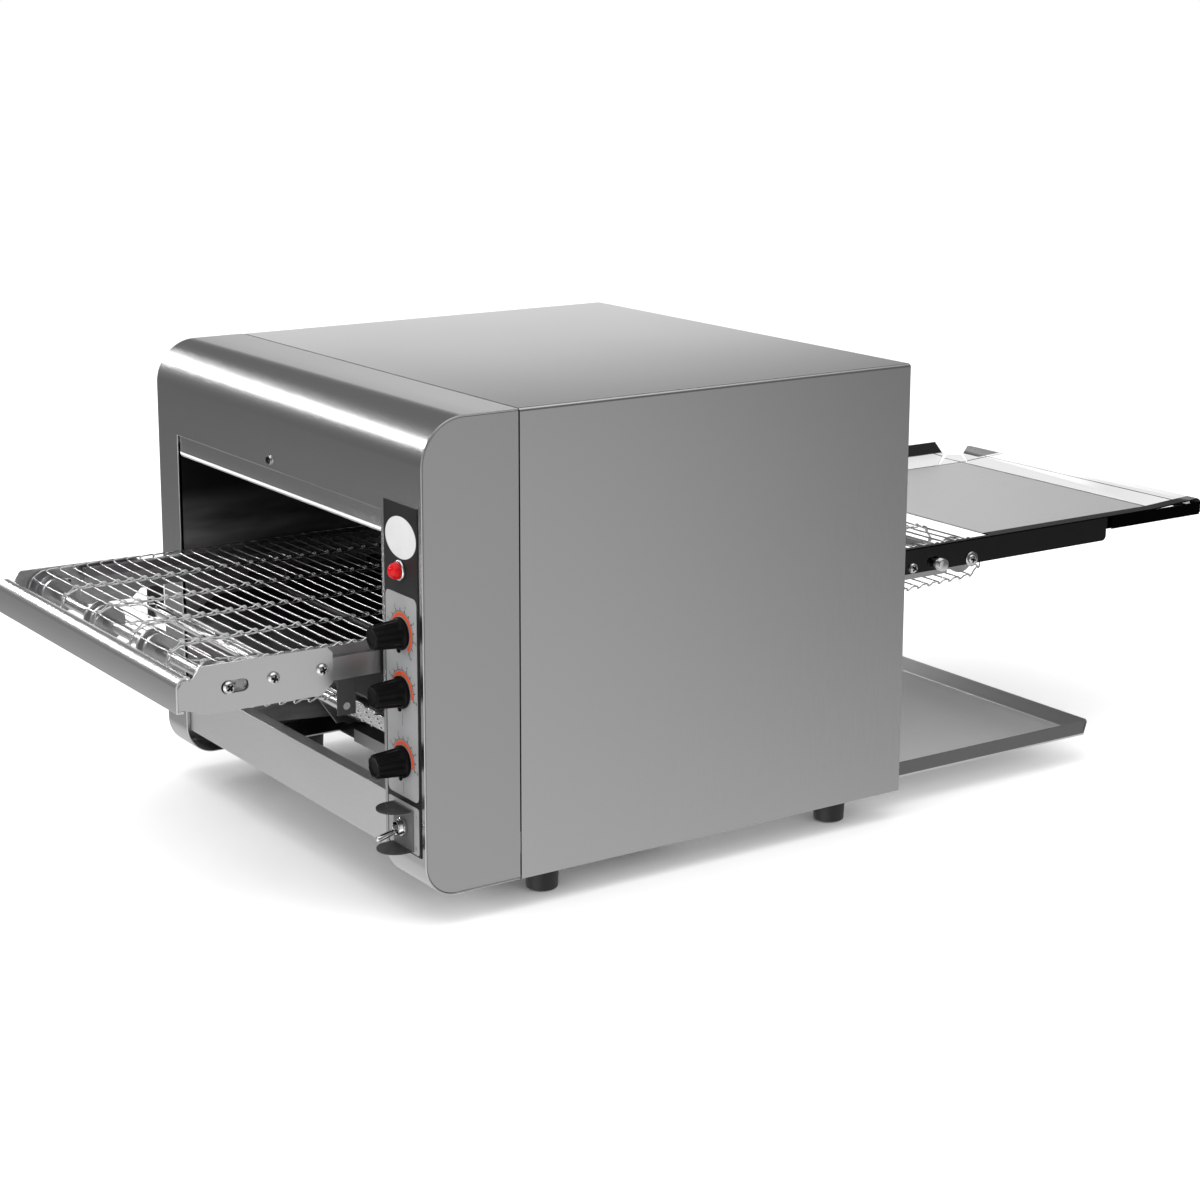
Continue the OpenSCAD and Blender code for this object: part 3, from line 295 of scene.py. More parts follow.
finishes = {
    "casing_steel": steel("casingSteel", cool(0.60), 0.25, 0.02, upright, tone=0.025, bump=0),
    "panel_steel": steel("panelSteel", cool(0.44), 0.36, 0.05, upright),
    "bright_steel": steel("brightSteel", cool(0.64), 0.26, 0.02, crossways, bump=0),
    "tray_steel": steel("traySteel", cool(0.76), 0.34, 0.03, lengthways, bump=0, metal=0.87),
    "mirror_steel": steel("mirrorSteel", (0.06, 0.06, 0.063), 0.07, 0.02, even, 60, bump=0.06),
    "rail_steel": steel("railSteel", cool(0.60), 0.30, 0.05, lengthways),
    "shaft_steel": steel("shaftSteel", (0.62, 0.62, 0.625), 0.22, 0.05, (30, 1, 1)),
    "belt_wire": steel("beltWire", cool(0.88), 0.18, 0.05, (2, 1, 1), 250),
    "screw_steel": steel("screwSteel", (0.76, 0.76, 0.765), 0.12, 0.04, even, 400),
    "strip_steel": steel("stripSteel", (0.40, 0.40, 0.405), 0.40, 0.08, lengthways),
    "foot_rubber": moulded("footRubber", (0.012, 0.012, 0.012), 0.5),
    "insulation": moulded("insulationFibre", (0.62, 0.58, 0.48), 0.9, 240, 0.8),
    "heater_sheath": steel("heaterSheath", (0.10, 0.095, 0.09), 0.48, 0.08, even, 200),
    "motor_paint": moulded("motorPaint", (0.06, 0.06, 0.062), 0.4),
    "label_film": moulded("labelFilm", (0.012, 0.012, 0.0125), 0.42, 1500, 0.05, shine=0.3),
    "chrome": steel("chromePlate", (0.82, 0.82, 0.83), 0.07, 0.03, even, 300, bump=0.01),
    "red_lens": redLens("redLens"),
    "black_plastic": moulded("blackPlastic", (0.003, 0.003, 0.0032), 0.36, 700, 0.05, shine=0.10),
    "control_bodies": moulded("controlBodies", (0.62, 0.60, 0.54), 0.5),
    "guard_black": moulded("guardBlack", (0.030, 0.030, 0.031), 0.42, 700, 0.1, shine=0.3),
}

# Places with painted tones: the seam's dark gap, painted shade on the tray's end and near side, the guard's
# plate painted lighter, the sliding blocks' faces painted darker and duller, painted shade on the rails'
# legs, and on the flap's lip a painted highlight with a painted shade line along it.
toned = {
    "seamGap": (86.2, 87.8), "trayEnd": 728.6, "traySide": 212.6, "trayFloor": 3.5, "guardPlate": (-3.0, 2.0),
    "blockFace": (169.4, 170.3), "legTop": 168.5, "lip": (279.0, 285.3), "lipShadeLine": (282.0, 282.5),
}
far = casing["far"]
trayWall = ("z", toned["trayFloor"], far)
blockNear, blockFar = toned["blockFace"]
mirror = 2 * tunnel["middle"]
blocks = [[("x", blockNear, blockFar)], [("x", mirror - blockFar, mirror - blockNear)]]
painted(finishes["casing_steel"], [[("y", *toned["seamGap"])]], (0.03, 0.03, 0.03))
# Painted shade: the tray's end wall and near side wall are painted darker.
painted(finishes["tray_steel"], [[("y", toned["trayEnd"], far), trayWall]], (0.46, 0.46, 0.463))
painted(finishes["tray_steel"], [[("x", toned["traySide"], far), trayWall]], (0.21, 0.21, 0.213), 0.45)
painted(finishes["guard_black"], [[("y", *toned["guardPlate"])]], (0.115, 0.115, 0.117))
painted(finishes["screw_steel"], blocks, (0.42, 0.42, 0.425), 0.35)
darkRecess(finishes["screw_steel"])

tunnelShade = steel("tunnelShadeSteel", (0.055, 0.054, 0.053), 0.42, 0.08, lengthways)    # painted shade
plateSteel = steel("plateSteel", cool(0.78), 0.30, 0.003, upright, tone=0.006, bump=0)
# Painted shade: a darker copy of the casing steel for the side cheeks.
shadedCheekSteel = steel("shadedCheekSteel", cool(0.51), 0.25, 0.02, upright, tone=0.025, bump=0)
shadedRail = steel("shadedRail", cool(0.62), 0.42, 0.03, lengthways, bump=0)
painted(shadedRail, [[("z", -far, toned["legTop"])]], (0.05, 0.05, 0.05), 0.5, 0.4)
flapSteel = steel("flapSteel", cool(0.60), 0.25, 0.02, upright, tone=0.02, bump=0)
# Painted highlight: the flap's lip is painted white and glossy; painted shade: a dark line along its fold.
painted(flapSteel, [[("z", *toned["lip"])]], (1.0, 1.0, 1.0), 0.12, 0.15)
painted(flapSteel, [[("z", *toned["lipShadeLine"])]], (0.02, 0.02, 0.02), 0.3, 0.0)
ownFinish = {    # of single nodes, before their slot's finish
    "chamber_wall_left": smearedWall(), "chamber_wall_right": tunnelShade, "upper_reflector": tunnelShade,
    "lower_reflector": tunnelShade, "insulation_blanket": tunnelShade,
    "rail_left": shadedRail, "rail_right": shadedRail,
    "infeed_plate_left": plateSteel, "infeed_plate_right": plateSteel, "front_flap": flapSteel,
    "rear_flap": flapSteel, "hood_cheek_left": shadedCheekSteel, "hood_cheek_right": shadedCheekSteel,
    "infeed_fascia": steel("fasciaSteel", cool(0.95), 0.26, 0.01, crossways, tone=0.015, bump=0),
    # Painted light: a far lighter copy of the casing steel for the lower cross bar.
    "lower_cross_bar": steel("litCrossBarSteel", cool(0.97), 0.42, 0.03, crossways, bump=0),
}
slotOf = {part["node"]: part["material_slot"] for part in frame["record"]["subparts"]}
bodyOf = {name: owner["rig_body"] for name, owner in nodes.items()}
for nodeName, slotName in slotOf.items():
    nodes[nodeName].data.materials.clear()
    nodes[nodeName].data.materials.append(ownFinish.get(nodeName) or finishes[slotName])
print("materials made:", len(finishes) + len(ownFinish))


# Gives a piece the body of a node that it stands for or lies on, and the first finish there is:
# one named for it, the node's own, or its slot's.
def finishPiece(obj, nodeName, material=None, standsFor=True):
    slotName = slotOf[nodeName]
    obj.data.materials.clear()
    obj.data.materials.append(material or ownFinish.get(nodeName) or finishes[slotName])
    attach(obj, bodyOf[nodeName])
    if standsFor:
        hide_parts(nodeName)
    return obj


# A new object in the scene, at the origin and unturned.
def linkedObject(name, data):
    obj = bpy.data.objects.new(name, data)
    bpy.context.scene.collection.objects.link(obj)
    return obj


# Stands for a node. Points are in casing millimetres, one row each; faces are rows of three or four point
# numbers.
def meshPiece(name, nodeName, points, faces, smooth=True, shade=None):
    mesh = bpy.data.meshes.new(name)
    rows = toRow(points)
    corners = np.asarray(faces, np.int32)
    mesh.vertices.add(len(rows))
    mesh.vertices.foreach_set("co", rows.astype(np.float32).ravel())
    mesh.loops.add(corners.size)
    mesh.loops.foreach_set("vertex_index", corners.ravel())
    mesh.polygons.add(len(corners))
    mesh.polygons.foreach_set("loop_start", np.arange(0, corners.size, corners.shape[1], dtype=np.int32))
    mesh.polygons.foreach_set("use_smooth", np.full(len(corners), smooth))
    if shade is not None:
        mesh.attributes.new("shade", "FLOAT", "POINT").data.foreach_set("value", shade)
    mesh.update(calc_edges=True)
    mesh.validate()
    return finishPiece(linkedObject(name, mesh), nodeName)


# Quads between neighbours on a grid of rows x cols points, joined round where asked.
def gridFaces(rows, cols, closeRows=False, closeCols=False):
    i = np.arange(rows if closeRows else rows - 1)[:, None]
    j = np.arange(cols if closeCols else cols - 1)[None, :]
    ni, nj = (i + 1) % rows, (j + 1) % cols
    i, j, ni, nj = np.broadcast_arrays(i, j, ni, nj)
    return np.stack([i * cols + j, i * cols + nj, ni * cols + nj, ni * cols + j], -1).reshape(-1, 4)


# Rings of points round each path: the ring's first direction is the given normal with its share along the
# path taken out. paths and normals are arrays of paths x points x 3.
def tubes(paths, normals, radius, sides):
    ahead = np.gradient(paths, axis=1)
    ahead /= np.linalg.norm(ahead, axis=2, keepdims=True)
    up = normals - (normals * ahead).sum(2, keepdims=True) * ahead
    up /= np.linalg.norm(up, axis=2, keepdims=True)
    across = np.cross(ahead, up)
    turn = np.arange(sides) * 2 * math.pi / sides
    ring = paths[:, :, None] + radius * (
        np.cos(turn)[:, None] * up[:, :, None] + np.sin(turn)[:, None] * across[:, :, None]
    )
    count, length = paths.shape[:2]
    one = gridFaces(length, sides, closeCols=True)
    faces = (one[None] + (np.arange(count) * length * sides)[:, None, None]).reshape(-1, 4)
    return ring.reshape(-1, 3), faces


# Turns a profile of (radius, distance) about the distance axis; wobble(turn, distance) scales the radius.
def lathe(profile, sides, wobble=None, closed=False):
    profile = np.asarray(profile, float)
    turn = np.arange(sides) * 2 * math.pi / sides
    radius = np.repeat(profile[:, :1], sides, 1)
    if wobble is not None:
        radius = radius * wobble(turn[None, :], profile[:, 1:])
    out = np.stack([radius * np.cos(turn), radius * np.sin(turn), np.repeat(profile[:, 1:], sides, 1)], -1)
    return out.reshape(-1, 3), gridFaces(len(profile), sides, closed, True)


# Joins shapes of (points, faces) into one, with the faces' numbers moved on.
def joined(shapes):
    starts = np.cumsum([0] + [len(points) for points, faces in shapes[:-1]])
    moved = [faces + start for (points, faces), start in zip(shapes, starts)]
    return np.vstack([points for points, faces in shapes]), np.vstack(moved)


# Puts a shape whose third axis points outwards on the front face, so that this axis runs along -y.
def outOfFront(points, x, z):
    return np.stack([x + points[:, 0], -points[:, 2], z + points[:, 1]], -1)


# Points on a circle at even turns from one angle to another, in degrees.
def arcPoints(centre, radius, first, last, count):
    turn = np.radians(np.linspace(first, last, count))
    return np.stack([centre[0] + radius * np.cos(turn), centre[1] + radius * np.sin(turn)], -1)


# A box's outline as four quarter circles, from its upper right corner on.
def roundedBox(x0, x1, z0, z1, r, steps=6):
    corners = ((x1 - r, z1 - r, 0), (x0 + r, z1 - r, 90), (x0 + r, z0 + r, 180), (x1 - r, z0 + r, 270))
    return np.vstack([arcPoints((x, z), r, a, a + 90, steps) for x, z, a in corners])


# The six faces of a block whose eight corners are numbered as three binary digits, its third axis fastest.
blockFaces = np.array([[0, 1, 3, 2], [4, 6, 7, 5], [0, 4, 5, 1], [2, 3, 7, 6], [0, 2, 6, 4], [1, 5, 7, 3]])


# A mesh's points in metres, one row each.
def pointsOf(mesh):
    flat = np.empty(3 * len(mesh.vertices), np.float32)
    mesh.vertices.foreach_get("co", flat)
    return flat.reshape(-1, 3)


# Edges sharper than the angle get a round of the width, in millimetres.
def roundEdges(obj, width, angle=35):
    bevel = obj.modifiers.new("edges", "BEVEL")
    bevel.width = width * mm
    bevel.segments = 2
    bevel.limit_method = "ANGLE"
    bevel.angle_limit = math.radians(angle)
    bevel.harden_normals = True
    return obj


softening = {"merge": 2e-6, "flatTo": 0.8, "sharpFrom": 30.0, "round": 0.35}    # metres, degrees, millimetres


# A CAD node's own shape with its points merged, flat faces joined and sharp edges rounded.
def softened(nodeName, width=softening["round"], material=None):
    mesh = nodes[nodeName].data.copy()
    work = bmesh.new()
    work.from_mesh(mesh)
    bmesh.ops.remove_doubles(work, verts=work.verts, dist=softening["merge"])
    flatTo, sharpFrom = math.radians(softening["flatTo"]), math.radians(softening["sharpFrom"])
    bmesh.ops.dissolve_limit(work, angle_limit=flatTo, verts=work.verts, edges=work.edges)
    for face in work.faces:
        face.smooth = True
    for rim in work.edges:
        rim.smooth = rim.calc_face_angle(0) < sharpFrom
    work.to_mesh(mesh)
    work.free()
    obj = roundEdges(linkedObject(nodeName + "Soft", mesh), width)
    return finishPiece(obj, nodeName, material)


# Carries a side view of (y, z) along x as a grid, leaves out the cells whose middle dropped() names, and
# gives the sheet its thickness on the inner side.
def sheetPiece(nodeName, profile, across, thickness, edge, dropped):
    profile = np.asarray(profile, float)
    x, row = np.meshgrid(across, np.arange(len(profile)))
    points = np.stack([x, profile[row, 0], profile[row, 1]], -1).reshape(-1, 3)
    faces = gridFaces(len(profile), len(across))
    faces = faces[~dropped(points[faces].mean(1))][:, ::-1]
    obj = meshPiece(nodeName + "Sheet", nodeName, points, faces)
    sheet = obj.modifiers.new("sheet", "SOLIDIFY")
    sheet.thickness = thickness * mm
    sheet.offset = -1
    return roundEdges(obj, edge)


belt = {
    "wire": 1.5, "pitch": 12.5, "rows": 6, "bow": 0.7, "sag": 0.5, "width": 352.0, "sides": 5,
    "noseY": -132.0, "tailY": 618.0, "wrapZ": 178.5, "wrapR": 17.5,
    "frontRod": (-28.0, 153.0), "rearRod": (478.0, 156.0), "drive": (178.0, 23.0), "driveR": 15.0,
    "softenOver": 9.0, "step": 0.5, "wrapSteps": 60, "driveSteps": 40, "swells": (61.0, 47.0), "level": 0.99,
}


# Where the line from start touches the circle, on the side given by +1 or -1.
def touchPoint(start, centre, radius, side):
    away = centre - start
    reach = np.linalg.norm(away)
    angle = math.atan2(away[1], away[0]) + side * math.asin(radius / reach)
    return start + math.sqrt(reach**2 - radius**2) * np.array([math.cos(angle), math.sin(angle)])


# Side view of the belt's middle line in even steps: straight runs and arcs, its corners eased by a moving
# average.
def beltLoop():
    nose, tail = np.array([belt["noseY"], belt["wrapZ"]]), np.array([belt["tailY"], belt["wrapZ"]])
    drive, front, rear = (np.array(belt[k]) for k in ("drive", "frontRod", "rearRod"))
    driveIn = touchPoint(front, drive, belt["driveR"], -1)
    driveOut = touchPoint(rear, drive, belt["driveR"], 1)
    angleIn = math.degrees(math.atan2(*(driveIn - drive)[::-1]))
    angleOut = math.degrees(math.atan2(*(driveOut - drive)[::-1]))
    line = np.vstack([
        arcPoints(tail, belt["wrapR"], 90, -90, belt["wrapSteps"]), rear[None],
        arcPoints(drive, belt["driveR"], angleOut, angleIn, belt["driveSteps"]), front[None],
        arcPoints(nose, belt["wrapR"], -90, -270, belt["wrapSteps"]),
    ])
    line = np.vstack([line, line[:1]])
    reach = np.concatenate([[0], np.cumsum(np.linalg.norm(np.diff(line, axis=0), axis=1))])
    count = int(reach[-1] / belt["step"])
    places = np.linspace(0, reach[-1], count, endpoint=False)
    dense = np.stack([np.interp(places, reach, line[:, k]) for k in (0, 1)], -1)
    window = int(belt["softenOver"] / belt["step"]) | 1
    padded = np.vstack([dense[-window:], dense, dense[:window]])
    kernel = np.ones(window) / window
    eased = np.stack([np.convolve(padded[:, k], kernel, "same")[window:-window] for k in (0, 1)], -1)
    return eased, reach[-1]


# One wire of the belt as (across, along, out of the belt): slightly bowed between the rows of links, and at
# each row a hook that runs low, arches over the next wire, goes round behind it and comes back.
def linkPath():
    pitch = belt["pitch"]
    hook = np.array([
        [-2.4, 0.0, 0.0], [-1.5, 0.8, -0.5], [-1.1, 2.2, -0.9], [-1.0, pitch * 0.6, -0.8],
        [-1.0, pitch - 2.4, 0.7], [-0.9, pitch + 0.1, 1.6], [-0.5, pitch + 1.7, 1.0], [0.0, pitch + 2.1, 0.1],
        [0.5, pitch + 1.7, -0.8], [0.9, pitch - 0.2, -1.4], [1.0, pitch - 3.0, -1.4], [1.1, 2.8, -1.2],
        [1.6, 0.9, -0.5], [2.6, 0.0, 0.0],
    ])
    tip = 7    # the hook's furthest point
    half = belt["width"] / 2
    places = np.linspace(-half, half, belt["rows"])
    parts = []
    for n, x in enumerate(places):
        one = hook.copy()
        if n == 0:
            one = one[tip - 1:]
            one[:, 2] = np.abs(one[:, 2])
        if n == belt["rows"] - 1:
            one = one[:tip + 2]
        one[:, 0] += x
        parts.append(one)
        if n < belt["rows"] - 1:
            t = np.linspace(0.2, 0.8, 4)
            gap = places[n + 1] - x
            parts.append(np.stack([x + gap * t, -belt["bow"] * 4 * t * (1 - t), 0 * t], -1))
    return np.vstack(parts)


# Lays the same wire along the loop once each pitch: along and out of the belt follow the loop's line and its
# normal, and on the top run a slow wave sets some wires higher.
def makeBelt():
    loop, length = beltLoop()
    count = int(round(length / belt["pitch"]))
    pitch = length / count
    path = linkPath()
    along = (np.arange(count)[:, None] * pitch + path[None, :, 1]) / length * len(loop)
    ahead = np.roll(loop, -1, axis=0) - np.roll(loop, 1, axis=0)
    ahead /= np.linalg.norm(ahead, axis=1, keepdims=True)
    outward = np.stack([-ahead[:, 1], ahead[:, 0]], -1)
    low = np.floor(along).astype(int)
    share = (along - low)[..., None]

    def sample(values):
        return values[low % len(loop)] * (1 - share) + values[(low + 1) % len(loop)] * share

    side, place = sample(outward), sample(loop)
    across = np.broadcast_to(path[None, :, :1] + tunnel["middle"], place.shape[:2] + (1,))
    swells, onTop = belt["swells"], side[:, :, 1] > belt["level"]
    wander = belt["sag"] * np.sin(along / swells[0]) * np.sin(across[:, :, 0] / swells[1]) * onTop
    points = np.concatenate([across, place + side * (path[None, :, 2:] + wander[..., None])], -1)
    normals = np.concatenate([np.zeros(side.shape[:2] + (1,)), side], -1)
    rings, faces = tubes(points, normals, belt["wire"] / 2, belt["sides"])
    meshPiece("wireBelt", "wire_belt", rings, faces)


makeBelt()
print("belt made")

hood = {
    "topR": 38.0, "bottomR": 28.0, "bendSteps": 24, "flatFrom": 60.0, "rows": (230.0, 160.0, 90.0),
    "columns": 7, "rowAbove": 320.0, "openingTop": 300.0, "openingRight": 174.1, "skin": 1.5, "edge": 0.7,
}


# The hood runs from the seam over the top bend, down the front and round the bottom bend.
def makeHood():
    seam, height, flat = casing["seam"], casing["height"], hood["flatFrom"]
    top = arcPoints((hood["topR"], height - hood["topR"]), hood["topR"], 90, 180, hood["bendSteps"])
    bottom = arcPoints((hood["bottomR"], hood["bottomR"]), hood["bottomR"], 180, 270, hood["bendSteps"])
    front = [[0, z] for z in (hood["rowAbove"], hood["openingTop"], *hood["rows"])]
    profile = np.vstack([[[seam, height], [flat, height]], top, front, bottom, [[flat, 0], [seam, 0]]])
    left, right = tunnel["left"], hood["openingRight"]
    half = casing["halfWidth"]
    across = np.concatenate([[-half], np.linspace(left, right, hood["columns"]), [half]])
    sheetPiece("hood_skin", profile, across, hood["skin"], hood["edge"],
               lambda m: (m[:, 0] > left) & (m[:, 0] < right) & (m[:, 2] < hood["openingTop"]))


flap = {
    "front": 2.0, "top": 345.0, "low": 280.0, "lipR": 5.0, "lipSteps": 20, "bendTop": 293.0,
    "slot": (-17.5, -10.5), "slotLow": 305.0, "overlap": 6.0, "corner": 1.0, "skin": 1.0, "edge": 0.25,
}


# The flap's sheet comes down behind the hood and turns back up round a half circle. The slot for its screw is
# open upwards, and the lip is narrower than the sheet behind the hood.
def makeFlap():
    front, low, r, bendTop = flap["front"], flap["low"], flap["lipR"], flap["bendTop"]
    profile = np.vstack([
        [[front, flap["top"]], [front, flap["slotLow"]], [front, bendTop]],
        arcPoints((front + r, low + r), r, 180, 360, flap["lipSteps"]), [[front + 2 * r, low + r + 2]],
    ])
    left, right, slot = tunnel["left"] + flap["corner"], tunnel["right"] - flap["corner"], flap["slot"]
    across = [tunnel["left"] - flap["overlap"], left, *slot, right, tunnel["right"] + flap["overlap"]]

    def dropped(m):
        inSlot = (m[:, 0] > slot[0]) & (m[:, 0] < slot[1]) & (m[:, 2] > flap["slotLow"])
        beside = (m[:, 0] < left) | (m[:, 0] > right)
        return inSlot | (beside & (m[:, 2] < bendTop))

    sheetPiece("front_flap", profile, across, flap["skin"], flap["edge"], dropped)


makeHood()
makeFlap()
for nodeName in (
    "hood_cheek_left", "hood_cheek_right", "wrap_cover", "lower_cross_bar", "rear_flap", "rear_panel",
    "infeed_plate_left", "infeed_plate_right", "infeed_fascia", "outfeed_plate_left", "outfeed_plate_right",
    "landing_tray", "foot_front_left", "foot_front_right", "foot_rear_left", "foot_rear_right", "rail_left",
    "rail_right", "toggle_guard", "drive_bracket_left", "drive_bracket_right",
):
    softened(nodeName)
print("casing made")

shelf = {
    "farCrease": (-99.0, -143.0), "endCrease": (851.0, 888.0), "line": 1.1, "near": 162.0, "low": 192.0,
    "endMitre": (-104.0, 8.0), "farMitre": (770.0, 900.0), "edge": 0.3, "flangeX": 173.0,
    "flangeStart": 800.2, "runOn": 6.0,
}


# Satin floor, with painted reflection in white strips past the first crease of the far side and the end, and
# painted shade: a dark line along each crease, dark mitred ends where the two sides meet,
# and a black near side.
def shelfFinish():
    mat = steel("shelfSteel", cool(0.88), 0.30, 0.03, lengthways, bump=0, metal=0.75)
    (side, sideEdge), (end, endEdge), half = shelf["farCrease"], shelf["endCrease"], shelf["line"]
    creases = [("x", side), ("x", sideEdge), ("y", end), ("y", endEdge)]
    endMitre = [("x", -far, shelf["endMitre"][0]), ("y", endEdge - shelf["endMitre"][1], far)]
    farMitre = [("x", -far, sideEdge), ("y", *shelf["farMitre"])]
    # Painted reflection: white, glossy strips.
    painted(mat, [[("x", -far, side)], [("y", end, far)]], (0.96, 0.96, 0.963), 0.10, 0.28)
    # Painted shade along the creases.
    painted(mat, [[(axis, at - half, at + half)] for axis, at in creases], (0.05, 0.05, 0.052))
    # Painted shade in the mitred ends.
    painted(mat, [endMitre, farMitre], (0.03, 0.03, 0.03), 0.2, 1)
    # Painted shade: the near side black.
    nearSide = [[("x", shelf["near"], far)], [("z", -far, shelf["low"])]]
    return painted(mat, nearSide, (0.004, 0.004, 0.004), 0.12, 1)


# The near flange's start runs on over the plate's end: its points move back along y.
def makeShelf():
    mesh = softened("outfeed_shelf", shelf["edge"], shelfFinish()).data
    place = pointsOf(mesh)
    x, y = (place / mm - rowShift).T[:2]
    place[(x > shelf["flangeX"]) & (np.abs(y - shelf["flangeStart"]) < 1), 1] -= shelf["runOn"] * mm
    mesh.vertices.foreach_set("co", place.ravel())
    mesh.update()


makeShelf()
print("shelf made")

stripX = 205.5    # the control strip's middle
knob = {
    "dials": {"knob_speed": 208.5, "knob_top_heat": 161.5, "knob_bottom_heat": 105.5}, "back": 1.2,
    "baseR": 13.0, "bodyR": 11.4, "tipR": 9.7, "length": 26.0, "flutes": 8, "depth": 0.10, "sharpness": 1.6,
    "gripFrom": 4.2, "fadeOver": 1.6, "rows": 22, "sides": 144, "pointerHalf": 1.2, "pointerTo": 8.0,
    "pointerOut": 2.0, "edge": 0.25,
}


# A grip that tapers to its tip, with a collar at its base and a pointer under it: the grooves narrow the
# radius by up to depth, strongest at the middle of each groove and fading in above the collar.
def makeKnob(nodeName, z):
    back, tip, base, tipR = knob["back"], knob["back"] + knob["length"], knob["baseR"], knob["tipR"]
    grip = np.linspace(back + knob["gripFrom"], tip - 1.0, knob["rows"])
    share = (grip - grip[0]) / (grip[-1] - grip[0])
    taper = np.stack([knob["bodyR"] + (tipR - knob["bodyR"]) * share, grip], -1)
    stem = [[0.01, -7], [2.6, -7], [3.0, -6.6], [3.0, back - 0.1], [12.4, back], [12.9, back + 0.4]]
    collar = [[base, back + 0.9], [base, back + 2.2], [12.7, back + 2.9], [11.8, back + 3.4]]
    rim = [[tipR - 0.25, tip - 0.45], [tipR - 0.9, tip - 0.08], [tipR - 1.7, tip], [tipR - 2.4, tip - 0.1]]
    dish = [[tipR - 2.9, tip - 0.5], [4, tip - 0.6], [0.01, tip - 0.6]]

    def grooves(turn, out):
        groove = ((1 + np.cos(knob["flutes"] * turn)) / 2) ** knob["sharpness"]
        start = np.clip((out - grip[0] - 0.2) / knob["fadeOver"], 0, 1)
        end = np.where(out > tip - 0.5, 0.75, 1.0)
        return 1 - knob["depth"] * groove * start * end

    body = lathe(np.vstack([stem, collar, taper, rim, dish]), knob["sides"], grooves)
    low, high = -base - knob["pointerOut"], -knob["pointerTo"]
    ends = ((high, back + 0.4), (high, back + 4.8), (low, back + 1.4), (low, back + 3.2))
    pointer = np.array([[x, z, out] for z, out in ends for x in (-knob["pointerHalf"], knob["pointerHalf"])])
    points, faces = joined([body, (pointer, blockFaces[:, ::-1])])
    obj = meshPiece(nodeName + "Fluted", nodeName, outOfFront(points, stripX, z), faces)
    roundEdges(obj, knob["edge"], 50)


for nodeName, z in knob["dials"].items():
    makeKnob(nodeName, z)
print("knobs made")

lamp = {
    "z": 258.5, "domeR": 6.8, "domeOut": 4.9, "ringR": 8.2, "ringHalf": 1.3, "facets": 12, "depth": 0.035,
    "sides": 72,
}


# A ribbed dome over the lamp's long body, its ribs narrowing the radius by a rectified sine of the turn, and
# a chrome ring of its own round section.
def makeLamp():
    r, out, half = lamp["domeR"], lamp["domeOut"], lamp["ringHalf"]
    rise = np.radians(np.linspace(4, 88, 12))
    dome = np.stack([r * np.cos(rise), out + r * np.sin(rise)], -1)
    profile = np.vstack([
        [[0.01, -20], [4.6, -20], [5.5, -18], [5.5, 3.7], [r - 0.2, 3.7], [r, 3.9]], dome, [[0.01, out + r]],
    ])

    def ribs(turn, far):
        return 1 - lamp["depth"] * np.abs(np.sin(lamp["facets"] * turn / 2)) * np.clip((far - 3) / 1.5, 0, 1)

    points, faces = lathe(profile, lamp["sides"], ribs)
    meshPiece("lampDome", "pilot_lamp_lens", outOfFront(points, stripX, lamp["z"]), faces)
    section = arcPoints((lamp["ringR"] - half, 1 + half), half, 0, 180, 12)
    ring = np.vstack([[[5.6, 0.85], [lamp["ringR"], 0.85]], section])
    points, faces = lathe(ring, lamp["sides"], closed=True)
    meshPiece("lampRing", "pilot_lamp_bezel", outOfFront(points, stripX, lamp["z"]), faces)


makeLamp()
print("lamp made")

switch = {
    "z": 52.5, "pivot": 1.0, "tilt": 14.0, "length": 28.0, "tipR": 2.5, "bushR": 6.0, "thread": 0.75,
    "cut": 0.35, "threaded": (2.2, 8.4), "notches": 24, "notch": 0.035, "notched": (2.3, 4.8),
    "body": (7.0, 14.0, -25.5, -1.6),
}


# Lever: a thin neck that swells to a round-ended grip. Bush: a turned tube with a saw-tooth thread, a dress
# nut whose rim is notched, and the switch's body behind the sheet.
def makeSwitch():
    end, tipR, length = np.radians(np.linspace(10, 88, 8)), switch["tipR"], switch["length"]
    tip = np.stack([tipR * np.cos(end), length - tipR + tipR * np.sin(end)], -1)
    profile = np.vstack([
        [[0.01, -3], [1.7, -2.4], [2.8, -1.2], [2.95, 0], [2.8, 1.2], [1.9, 2.5], [1.5, 3.4], [1.55, 8]],
        [[2.0, 11.5], [2.25, 15], [2.45, 21]], tip, [[0.01, length]],
    ])
    points, faces = lathe(profile, 40)
    a = math.radians(switch["tilt"])
    out = points[:, 2] * math.cos(a) + points[:, 1] * math.sin(a)
    up = points[:, 1] * math.cos(a) - points[:, 2] * math.sin(a)
    place = np.stack([stripX + points[:, 0], switch["pivot"] - out, switch["z"] + up], -1)
    meshPiece("leverTurned", "toggle_lever", place, faces)

    r = switch["bushR"]
    steps = np.arange(*switch["threaded"], switch["thread"] / 2)
    thread = np.stack([np.where(np.arange(len(steps)) % 2, r - switch["cut"], r), steps], -1)
    bush = np.vstack([
        [[3.6, -1.6], [3.6, -2.0], [r, -2.0], [r, 2.0]], thread, [[r - 0.2, 8.6], [r - 0.6, 8.8], [5.2, 8.8]],
        [[4.9, 8.5], [3.7, -0.9]],
    ])
    nut = [[6.05, 2.15], [7.0, 2.15], [7.3, 2.5], [7.3, 4.3], [6.9, 4.9], [6.05, 5.0]]

    def notches(turn, out):
        low, high = switch["notched"]
        return 1 - switch["notch"] * (np.cos(switch["notches"] * turn) > 0.5) * (out > low) * (out < high)

    halfX, halfZ, back, front = switch["body"]
    box = np.array([[x, z, y] for x in (-halfX, halfX) for z in (-halfZ, halfZ) for y in (back, front)])
    shapes = [lathe(bush, 48, closed=True), lathe(nut, 96, notches, closed=True), (box, blockFaces)]
    points, faces = joined(shapes)
    meshPiece("switchBush", "toggle_body", outOfFront(points, stripX, switch["z"]), faces, smooth=False)


makeSwitch()
print("switch made")

